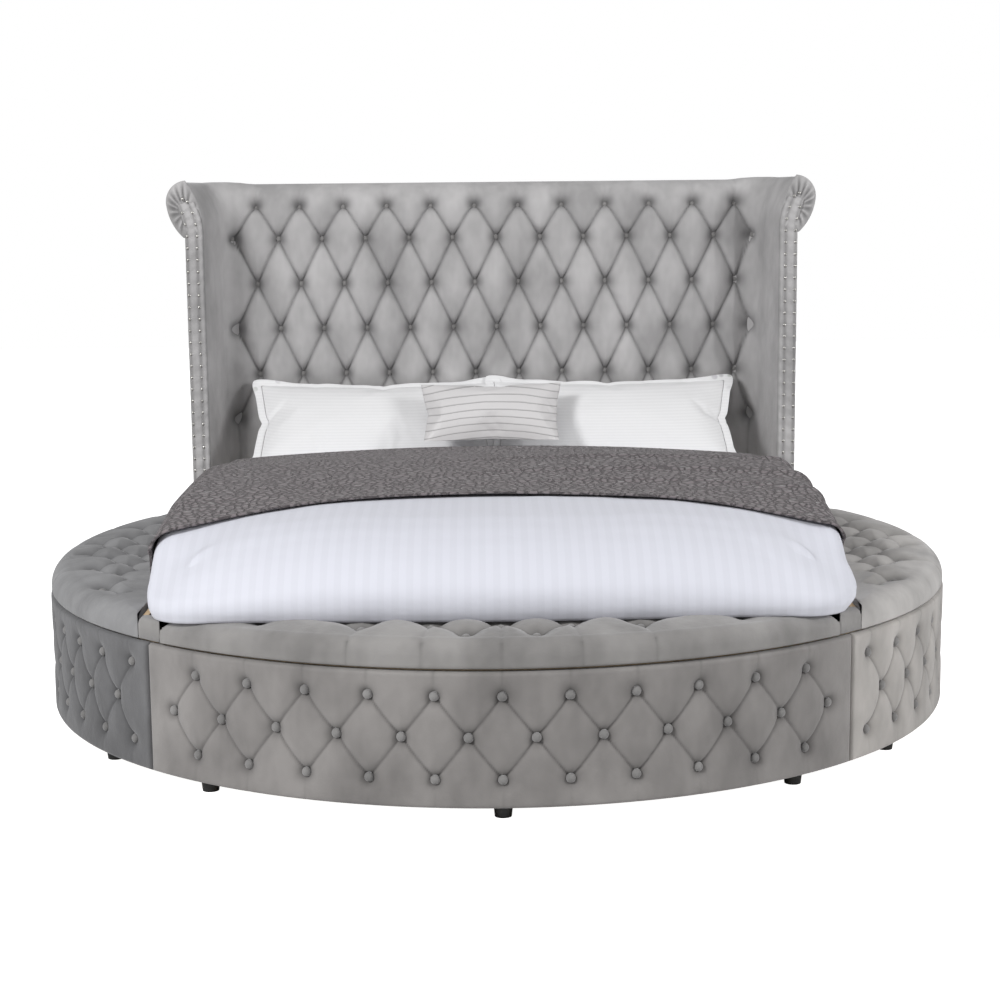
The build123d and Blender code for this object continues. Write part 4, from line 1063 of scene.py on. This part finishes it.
def corner_cap(side):
    """Grid of points on one padded corner between the lids, raised behind the foot lid's tip."""
    low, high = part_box("corner_caps")
    inner, outer = -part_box("foot_rail")[0].x - 0.012, high.x - 0.001
    near, far = low.y, high.y
    cap_top = 0.411
    rows = []
    for x in np.linspace(inner, outer, 34):
        rim = -math.sqrt(max(lid_radius**2 - x**2, 0)) + 0.002
        front = max(near, rim)
        row = []
        for share in np.linspace(0, 1, 30):
            y = front + (far - front) * share
            back = edge_inset(y - near, 0.020)
            rim_gap = y - rim if front > near + 0.001 else 1.0
            edges = min(x - inner, outer - x, far - y, rim_gap)
            raised = 0.015 * smooth_step(y, -0.915, -0.890) * (1 - smooth_step(x, 0.838, 0.850))
            row.append((side * x, y, cap_top - back - edge_inset(edges, 0.016) + raised))
        for share in (1.0, 0.0):
            row.append((side * x, front + (far - front) * share, lid_line + 0.001))
        rows.append(row)
    return np.array(rows)


for side, word in ((1, "right"), (-1, "left")):
    cap = tube(f"{word}_corner_cap", corner_cap(side), foot_lid_shaded_velvet)
    stands_for(cap, "root", "velvet", "corner_caps")


# Comforter: rings from its hem up and inwards over the mattress
comforter_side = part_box("comforter")[1].x
comforter_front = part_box("comforter")[0].y
comforter_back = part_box("comforter")[1].y
bed_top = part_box("comforter")[1].z
shoulder_height = bed_top - 0.012
shoulder_inset = 0.048
hem_height = 0.4310
sag_level = 0.445
sag_run = 0.10
clear_level = 0.53
bed_half = 0.86
corner_start = -0.86


def sag(x, y):
    """How far the bed's surface falls towards the headboard, the foot and the foot's corners."""
    back = smooth_step(y, 0.0, 0.57) * (0.026 + 0.024 * (x / bed_half) ** 2)
    foot = smooth_step(-y, 0.2, 0.6) * 0.010
    corner = smooth_step(-y, 0.45, 0.95) * smooth_step(np.abs(x), 0.35, bed_half) * 0.052
    return back + foot + corner


def over_mattress(x, y, level):
    """A height of the cover, raised where it would pass through the mattress."""
    gap = np.minimum(mattress_high.x - np.abs(x), y - mattress_low.y)
    floor_level = mattress_high.z - edge_inset(np.clip(gap, 0, mattress_edge), mattress_edge) * 0.8 + 0.009
    short = floor_level - level
    raised = level + 0.5 * (short + np.sqrt(short**2 + 0.006**2))
    return np.where(gap > 0.012, raised, level)


def settled(x, y, level):
    """A height of the cover, where the bed sags under it but the mattress stays below it."""
    sunk = level - sag(x, y) * np.clip((level - sag_level) / sag_run, 0, 1)
    return np.where(level > clear_level, over_mattress(x, y, sunk), sunk)


def outline_points():
    """The comforter's outline in plan, from the back left corner round the foot, and front shares."""
    side, front, back = comforter_side, comforter_front, comforter_back
    left = stack(-side, np.linspace(back, corner_start, 120, endpoint=False))
    corner = arc_points((-side, corner_start), (-0.825, -0.975), (-0.70, -1.035), 26)
    foot = arc_points((-0.70, -1.035), (0, front), (0.70, -1.035), int(1.4 / medium))
    other = arc_points((0.70, -1.035), (0.825, -0.975), (side, corner_start), 26)
    right = stack(side, np.linspace(corner_start, back, 120, endpoint=False))
    rear = stack(np.linspace(side, -side, 130, endpoint=False), back)
    points = np.concatenate([left, corner, foot, other, right, rear])
    return points, smooth_step(-points[:, 1], 0.74, 0.98)


def arch_profile():
    """Side profile (inset, height) from the tuck to the crown."""
    knee = shoulder_height - shoulder_inset
    side = [(0.012, 0.428), (0.004, 0.445), (0.0, 0.47), (0.0, 0.50), (0.0, 0.53), (0.0, knee)]
    for turn in np.linspace(0, math.pi / 2, 12)[1:]:
        inset = shoulder_inset * (1 - math.cos(turn))
        side.append((inset, knee + shoulder_inset * math.sin(turn)))
    for share in np.linspace(0, 1, 22)[1:]:
        inset = shoulder_inset + (0.56 - shoulder_inset) * share
        across = (comforter_side - inset) / (comforter_side - shoulder_inset)
        side.append((inset, bed_top - (bed_top - shoulder_height) * across**2))
    return np.array(side)


def front_profile(count):
    """Foot profile (inset, height): a soft drop that swells over the lid."""
    keys = np.array(
        [
            (0.012, hem_height), (0.003, 0.450), (0.0, 0.466), (0.001, 0.494), (0.010, 0.522),
            (0.034, 0.552), (0.070, 0.580), (0.120, 0.606), (0.190, 0.630), (0.280, 0.645), (0.56, 0.6515),
        ]
    )
    run = np.concatenate([[0], np.cumsum(np.hypot(*np.diff(keys, axis=0).T))])
    spread = np.linspace(0, 1, count) ** 1.25 * run[-1]
    return np.stack([np.interp(spread, run, keys[:, i]) for i in (0, 1)], -1)


def make_comforter():
    """The filled cover, tucked at its sides and resting on the foot lid's cushion."""
    outline, frontness = outline_points()
    side = arch_profile()
    front = front_profile(len(side))
    profile = side[None] * (1 - frontness[:, None, None]) + front[None] * frontness[:, None, None]
    target = stack(np.clip(outline[:, 0], -0.30, 0.30), np.clip(outline[:, 1], -0.47, 0.08))
    toward = target - outline
    length = np.hypot(*toward.T)
    toward = toward / length[:, None]
    inset = np.minimum(profile[..., 0], length[:, None] * 0.98)
    xy = outline[:, None] + toward[:, None] * inset[..., None]
    grid = np.concatenate([xy, profile[..., 1:]], -1)
    body = np.clip((grid[..., 2] - sag_level) / sag_run, 0, 1)
    grid[..., 2] = settled(grid[..., 0], grid[..., 1], grid[..., 2])
    grid[..., 2] -= 0.020 * (1 - body) * np.clip(np.abs(grid[..., 0]) / bed_half, 0, 1) ** 3
    bulge = np.clip(grid[..., 0] / bed_half, 0, 1) ** 4 * np.clip((grid[..., 2] - 0.415) / 0.03, 0, 1)
    grid[..., 0] += 0.012 * bulge * smooth_step(-grid[..., 1], 0.82, 0.90)
    bulk = soft_noise(grid.reshape(-1, 3) * (1.0, 1.0, 0.6), 4.0, 3).reshape(grid.shape[:2])
    ripples = soft_noise(grid.reshape(-1, 3) * (1.0, 0.6, 0.35), 11.0, 5).reshape(grid.shape[:2])
    amount = frontness[:, None] * np.clip((grid[..., 2] - sag_level) / 0.05, 0, 1)
    push = (0.0065 * bulk + 0.003 * ripples) * amount
    grid[..., 0] -= toward[:, None, 0] * push
    grid[..., 1] -= toward[:, None, 1] * push
    grid[..., 2] += push * np.clip((grid[..., 2] - 0.60) / 0.05, 0, 1) * 0.6
    rows, columns = grid.shape[:2]
    faces = grid_faces(rows, columns)
    last = (rows - 1) * columns
    for k in range(columns - 1):
        faces.append((last + k, k, k + 1, last + k + 1))
    faces.append([i * columns for i in range(rows)])
    faces.append([i * columns + columns - 1 for i in range(rows)])
    return mesh_object("comforter_whole", grid.reshape(-1, 3), faces, comforter_cotton)


def part_of(made, name, split, front):
    """One side of a closed piece, cut across the bed at a place and closed there."""
    shape = bmesh.new()
    shape.from_mesh(made.data)
    bmesh.ops.bisect_plane(
        shape, geom=shape.verts[:] + shape.edges[:] + shape.faces[:],
        plane_co=(0, split, 0), plane_no=(0, 1, 0), clear_outer=front, clear_inner=not front,
    )
    rim = [edge for edge in shape.edges if edge.is_boundary]
    bmesh.ops.holes_fill(shape, edges=rim, sides=0)
    for edge in rim:
        edge.smooth = False
    bmesh.ops.recalc_face_normals(shape, faces=shape.faces)
    mesh = bpy.data.meshes.new(name)
    shape.to_mesh(mesh)
    shape.free()
    mesh.materials.append(made.data.materials[0])
    return add_object(name, mesh)


# The drop over the foot lid is a piece of its own, because the opening lid presses it flat
drop_split = mattress_low.y + 0.004
whole = make_comforter()
comforter = part_of(whole, "comforter_cover", drop_split, False)
comforter_drop = part_of(whole, "comforter_drop", drop_split, True)
bpy.data.objects.remove(whole)
stands_for(comforter, "root", "comforter", "comforter")
stands_for(comforter_drop, "root", "comforter", "comforter")
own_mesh(comforter_drop)


# Throw: a quilted cloth across the bed, its side panels hanging over the comforter
throw_gap = 0.0025
throw_thickness = 0.0065
throw_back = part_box("throw")[1].y
throw_hem = 0.450
throw_front_middle = -0.545
throw_front_side = -0.800
# Long folds: place along the throw from the first one, height and width
throw_folds = ((0.0, 0.012, 0.028), (0.24, 0.010, 0.024), (-0.16, 0.007, 0.02))


def make_throw():
    """The throw's top and underside as one closed sheet, and its run from hem to hem."""
    knee = shoulder_height - shoulder_inset
    half_top = comforter_side - shoulder_inset
    drop = knee - throw_hem
    quarter = shoulder_inset * math.pi / 2
    half_run = half_top + quarter + drop
    run = np.linspace(-half_run, half_run, int(2 * half_run / 0.010))
    lengthways = np.linspace(0, 1, 120)
    top, under = [], []
    for s in run:
        side = math.copysign(1, s)
        a = abs(s)
        if a < half_top:
            base = (side * a, bed_top - (bed_top - shoulder_height) * (a / half_top) ** 2)
            out = (side * 0.04 * a / half_top, 1.0)
        elif a < half_top + quarter:
            turn = (a - half_top) / shoulder_inset
            base = (
                side * (half_top + shoulder_inset * math.sin(turn)),
                knee + shoulder_inset * math.cos(turn),
            )
            out = (side * math.sin(turn), math.cos(turn))
        else:
            base = (side * comforter_side, knee - (a - half_top - quarter))
            out = (side, 0.0)
        reach = min(1.0, abs(base[0]) / comforter_side)
        front = throw_front_middle + (throw_front_side - throw_front_middle) * reach**1.8
        hung = max(0.0, a - half_top) / (half_run - half_top)
        front += (0.16 if s > 0 else 0.02) * hung
        for share in lengthways:
            y = front + (throw_back - front) * share
            swell = noise.noise(Vector((s * 2.2, y * 5.0, 4.0)))
            long_fold = 0.0
            if s > -0.2:
                centre = 0.30 + 0.10 * math.sin(s * 2.0)
                ease = min(1.0, (s + 0.2) / 0.5)
                for place, height, width in throw_folds:
                    long_fold += height * ease * math.exp(-(((share - centre - place) / width) ** 2))
            edge = max(0.0, 1 - share / 0.03) * 0.003
            lift = throw_gap + 0.0025 * (swell + 1) + long_fold + edge
            if base[1] < knee:
                lift = 0.0018 + 0.0008 * (swell + 1) + 0.15 * long_fold
            level = float(settled(base[0], y, base[1]))
            for layer, height in ((top, lift + throw_thickness), (under, lift)):
                layer.append((base[0] + out[0] * height, y, level + out[1] * height))
    rows, columns = len(run), len(lengthways)
    faces = grid_faces(rows, columns)
    faces += [f[::-1] for f in grid_faces(rows, columns, start=rows * columns)]
    count = rows * columns
    loop = [i * columns for i in range(rows)]
    loop += [(rows - 1) * columns + k for k in range(1, columns)]
    loop += [i * columns + columns - 1 for i in range(rows - 2, -1, -1)]
    loop += list(range(columns - 2, 0, -1))
    for first, second in zip(loop, loop[1:] + loop[:1]):
        faces.append((first, second, second + count, first + count))
    made = mesh_object("throw_cloth", top + under, faces, throw_velvet)
    return made, 2 * half_run


throw, throw_width = make_throw()
stands_for(throw, "root", "throw", "throw")


# Pillows: two layers sewn at the rim and blown up by cloth simulation, which draws the rim in.
# It is then pulled part of the way back to the cut outline.
cutting_share = 1.07
seam_hold = 0.62
blow_frames = 18
pillow_sink = 0.014


def pillow_layers(width, height, thickness, cell):
    """Two joined layers with a little starting thickness, as points and faces."""
    nx, ny = int(width / cell), int(height / cell)
    xs = np.linspace(-width / 2, width / 2, nx)
    ys = np.linspace(-height / 2, height / 2, ny)
    points, lookup, faces = [], {}, []
    for layer in (1, -1):
        for i, x in enumerate(xs):
            for j, y in enumerate(ys):
                rim = i in (0, nx - 1) or j in (0, ny - 1)
                if layer == -1 and rim:
                    lookup[(layer, i, j)] = lookup[(1, i, j)]
                    continue
                swell = 0
                if not rim:
                    swell = math.cos(math.pi * x / width) ** 0.5 * math.cos(math.pi * y / height) ** 0.5
                lookup[(layer, i, j)] = len(points)
                points.append((x, y, layer * thickness / 2 * swell))
        for i in range(nx - 1):
            for j in range(ny - 1):
                corners = [(i, j), (i + 1, j), (i + 1, j + 1), (i, j + 1)]
                face = [lookup[(layer, *c)] for c in corners]
                faces.append(face if layer == 1 else face[::-1])
    return points, faces


def blow_up(made, pressure, frames):
    """Inflates a closed piece with cloth simulation and keeps the result as its mesh."""
    cloth = made.modifiers.new("cloth", "CLOTH")
    settings = cloth.settings
    settings.quality = 6
    settings.mass = 0.25
    settings.tension_stiffness = 18
    settings.compression_stiffness = 18
    settings.shear_stiffness = 9
    settings.bending_stiffness = 0.6
    settings.air_damping = 4
    settings.use_pressure = True
    settings.uniform_pressure_force = pressure
    settings.effector_weights.gravity = 0
    cloth.point_cache.frame_start = 1
    cloth.point_cache.frame_end = frames
    for frame_number in range(1, frames + 1):
        scene.frame_set(frame_number)
    graph = bpy.context.evaluated_depsgraph_get()
    result = bpy.data.meshes.new_from_object(made.evaluated_get(graph))
    made.modifiers.clear()
    made.data = result
    scene.frame_set(1)


def rim_loop(width, height, cell):
    """Numbers of the points on the rim, in order round it, as pillow_layers makes them."""
    nx, ny = int(width / cell), int(height / cell)
    loop = [i * ny for i in range(nx)]
    loop += [(nx - 1) * ny + j for j in range(1, ny)]
    loop += [i * ny + ny - 1 for i in range(nx - 2, -1, -1)]
    loop += list(range(ny - 2, 0, -1))
    return loop


def add_flange(made, loop, width, seed):
    """A flat border of doubled cloth round the rim, wavy and a little longer at its corners."""
    mesh = made.data
    co = coordinates(made)
    rim = co[loop]
    ahead, behind = np.roll(rim, -3, 0), np.roll(rim, 3, 0)
    along = (ahead - behind)[:, :2]
    out = np.stack([along[:, 1], -along[:, 0]], -1)
    out /= np.linalg.norm(out, axis=1, keepdims=True) + 1e-9
    if (out * rim[:, :2]).sum() < 0:
        out = -out
    reach = np.abs(rim[:, :2]) / np.abs(rim[:, :2]).max(0)
    corner = np.clip((reach.prod(1) - 0.72) / 0.28, 0, 1)
    wave = soft_noise(rim * (1, 1, 0), 11.0, seed)
    rings = []
    for share, side in ((-0.12, 1), (0.5, 1), (1.0, 1), (1.0, -1), (0.5, -1), (-0.12, -1)):
        spread = width * share * (1 + 0.45 * corner)
        flat = rim[:, :2] + out * spread[:, None]
        past = max(share, 0)
        height = rim[:, 2] + side * 0.0014 + 0.011 * wave * past + 0.020 * corner * past
        rings.append(np.concatenate([flat, height[:, None]], 1))
    count, start = len(loop), len(co)
    faces = [tuple(f.vertices) for f in mesh.polygons]
    index = np.arange(len(rings) * count).reshape(len(rings), count) + start
    for k in range(len(rings)):
        a, b = index[k], index[(k + 1) % len(rings)]
        for i in range(count):
            j = (i + 1) % count
            faces.append((a[i], a[j], b[j], b[i]))
    print_share = np.concatenate([np.zeros(len(co)), np.tile(corner, len(rings))])
    faces = [tuple(map(int, f)) for f in faces]
    grown = mesh_object(
        made.name + "_sewn", np.concatenate([co] + rings), faces, mesh.materials[0], print_share
    )
    made.data = grown.data
    bpy.data.objects.remove(grown)


def make_pillow(name, width, height, thickness, look, pressure=7.0, seed=1, cell=0.014, flange=0.0):
    """A stuffed pillow lying flat about the origin, scaled to its three sizes."""
    cut_width, cut_height = width * cutting_share, height * cutting_share
    points, faces = pillow_layers(cut_width, cut_height, thickness * 0.55, cell)
    points = np.array(points)
    points[:, 2] += 0.002 * soft_noise(points, 9.0, seed)
    made = mesh_object(name, points, faces, look)
    blow_up(made, pressure, blow_frames)
    co = coordinates(made)
    co[: len(points), :2] += (points[:, :2] - co[: len(points), :2]) * seam_hold
    move_points(made, co)
    if flange:
        add_flange(made, rim_loop(cut_width, cut_height, cell), flange, seed)
    co = coordinates(made)
    span = co.max(0) - co.min(0)
    centre = (co.max(0) + co.min(0)) / 2
    co = (co - centre) * (width / span[0], height / span[1], thickness / span[2])
    co[:, 0] *= 1 + 0.06 * co[:, 1] / height
    move_points(made, co)
    made.data.shade_smooth()
    smooth = made.modifiers.new("smooth", "SUBSURF")
    smooth.levels = 1
    smooth.render_levels = 1
    return made


def place_pillow(made, lean, turn, centre, floor_at):
    """Leans a pillow back, sets it in place and flattens it where it rests."""
    tilt = Matrix.Rotation(turn, 3, "Z") @ Matrix.Rotation(lean, 3, "X")
    co = np.array([tilt @ v.co for v in made.data.vertices])
    co += np.array(centre)
    co[:, 2] += floor_at - pillow_sink - co[:, 2].min()
    co[:, 2] = np.maximum(co[:, 2], floor_at)
    move_points(made, co)


sham_lean = math.radians(31)
accent_lean = math.radians(37)
for side, word in ((1, "right"), (-1, "left")):
    low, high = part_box(f"{word}_sham")
    middle = (low + high) / 2
    pillow = make_pillow(
        f"{word}_sham_pillow", 0.835, 0.500, 0.165, sham_cotton, seed=2 + side, flange=0.026
    )
    centre = (middle.x - side * 0.007, middle.y - 0.004, 0)
    place_pillow(pillow, sham_lean, side * -0.02, centre, mattress_high.z + 0.001)
    stands_for(pillow, "root", "sham", f"{word}_sham")

low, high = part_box("accent_cushion")
middle = (low + high) / 2
accent = make_pillow("accent_pillow", 0.455, 0.295, 0.105, accent_satin, seed=6, cell=0.010)
place_pillow(accent, accent_lean, 0.0, (middle.x, middle.y, 0), low.z)
stands_for(accent, "root", "accent", "accent_cushion")


# Carried-over pieces get their own finish
def finish_node(name, look):
    """Gives a CAD node's own material slots a finish."""
    data = nodes[name].data
    data.materials.clear()
    data.materials.append(look)


for name in nodes:
    if "hinges" in name or name in ("rail_brackets", "bracket_bolts"):
        finish_node(name, zinc)
    elif name.endswith(("bench_front", "bench_floor", "lid_board", "wing_board")) or name == "headboard_core":
        finish_node(name, plywood)
    elif name.endswith("side_rail") or name in (
        "slat_ledgers", "slats", "centre_beam", "centre_legs", "corner_posts", "foot_rail"
    ):
        finish_node(name, softwood)
    elif name == "feet":
        finish_node(name, foot_plastic)


# Floor, world and lamps
def make_stage():
    """A pale floor, a pale world and soft lamps."""
    mesh = bpy.data.meshes.new("floor")
    reach = 14.0
    corners = [(-reach, -reach, 0), (reach, -reach, 0), (reach, reach, 0), (-reach, reach, 0)]
    mesh.from_pydata(corners, [], [(0, 1, 2, 3)])
    floor = add_object("floor", mesh)
    made, tree, shader = material(
        "floor paint", Base_Color=(0.80, 0.80, 0.80, 1), Roughness=0.9, Emission_Color=(1, 1, 1, 1)
    )
    path = add_node(tree, "LightPath")
    tree.links.new(path.outputs["Is Camera Ray"], shader.inputs["Emission Strength"])
    mesh.materials.append(made)
    world = bpy.data.worlds.new("world")
    world.use_nodes = True
    scene.world = world
    tree = world.node_tree
    back = tree.nodes["Background"]
    path = add_node(tree, "LightPath")
    level = add_node(tree, "MapRange", Value=path.outputs["Is Camera Ray"], To_Min=0.30, To_Max=1.0)
    tree.links.new(level.outputs["Result"], back.inputs["Strength"])
    back.inputs["Color"].default_value = (1, 1, 1, 1)
    for name, place, size, power in (
        ("key", (-3.9, -4.1, 3.8), 1.8, 245.0),
        ("fill", (4.4, -2.6, 2.8), 2.0, 118.0),
        ("top", (0.0, -1.0, 5.2), 3.0, 20.0),
    ):
        data = bpy.data.lights.new(name, "AREA")
        data.shape = "DISK"
        data.size = size
        data.energy = power
        lamp = add_object(name, data)
        lamp.location = place
        lamp.rotation_mode = "QUATERNION"
        lamp.rotation_quaternion = (Vector((0, 0, 0.6)) - Vector(place)).to_track_quat("-Z", "Y")


make_stage()
scene.view_settings.view_transform = "Standard"
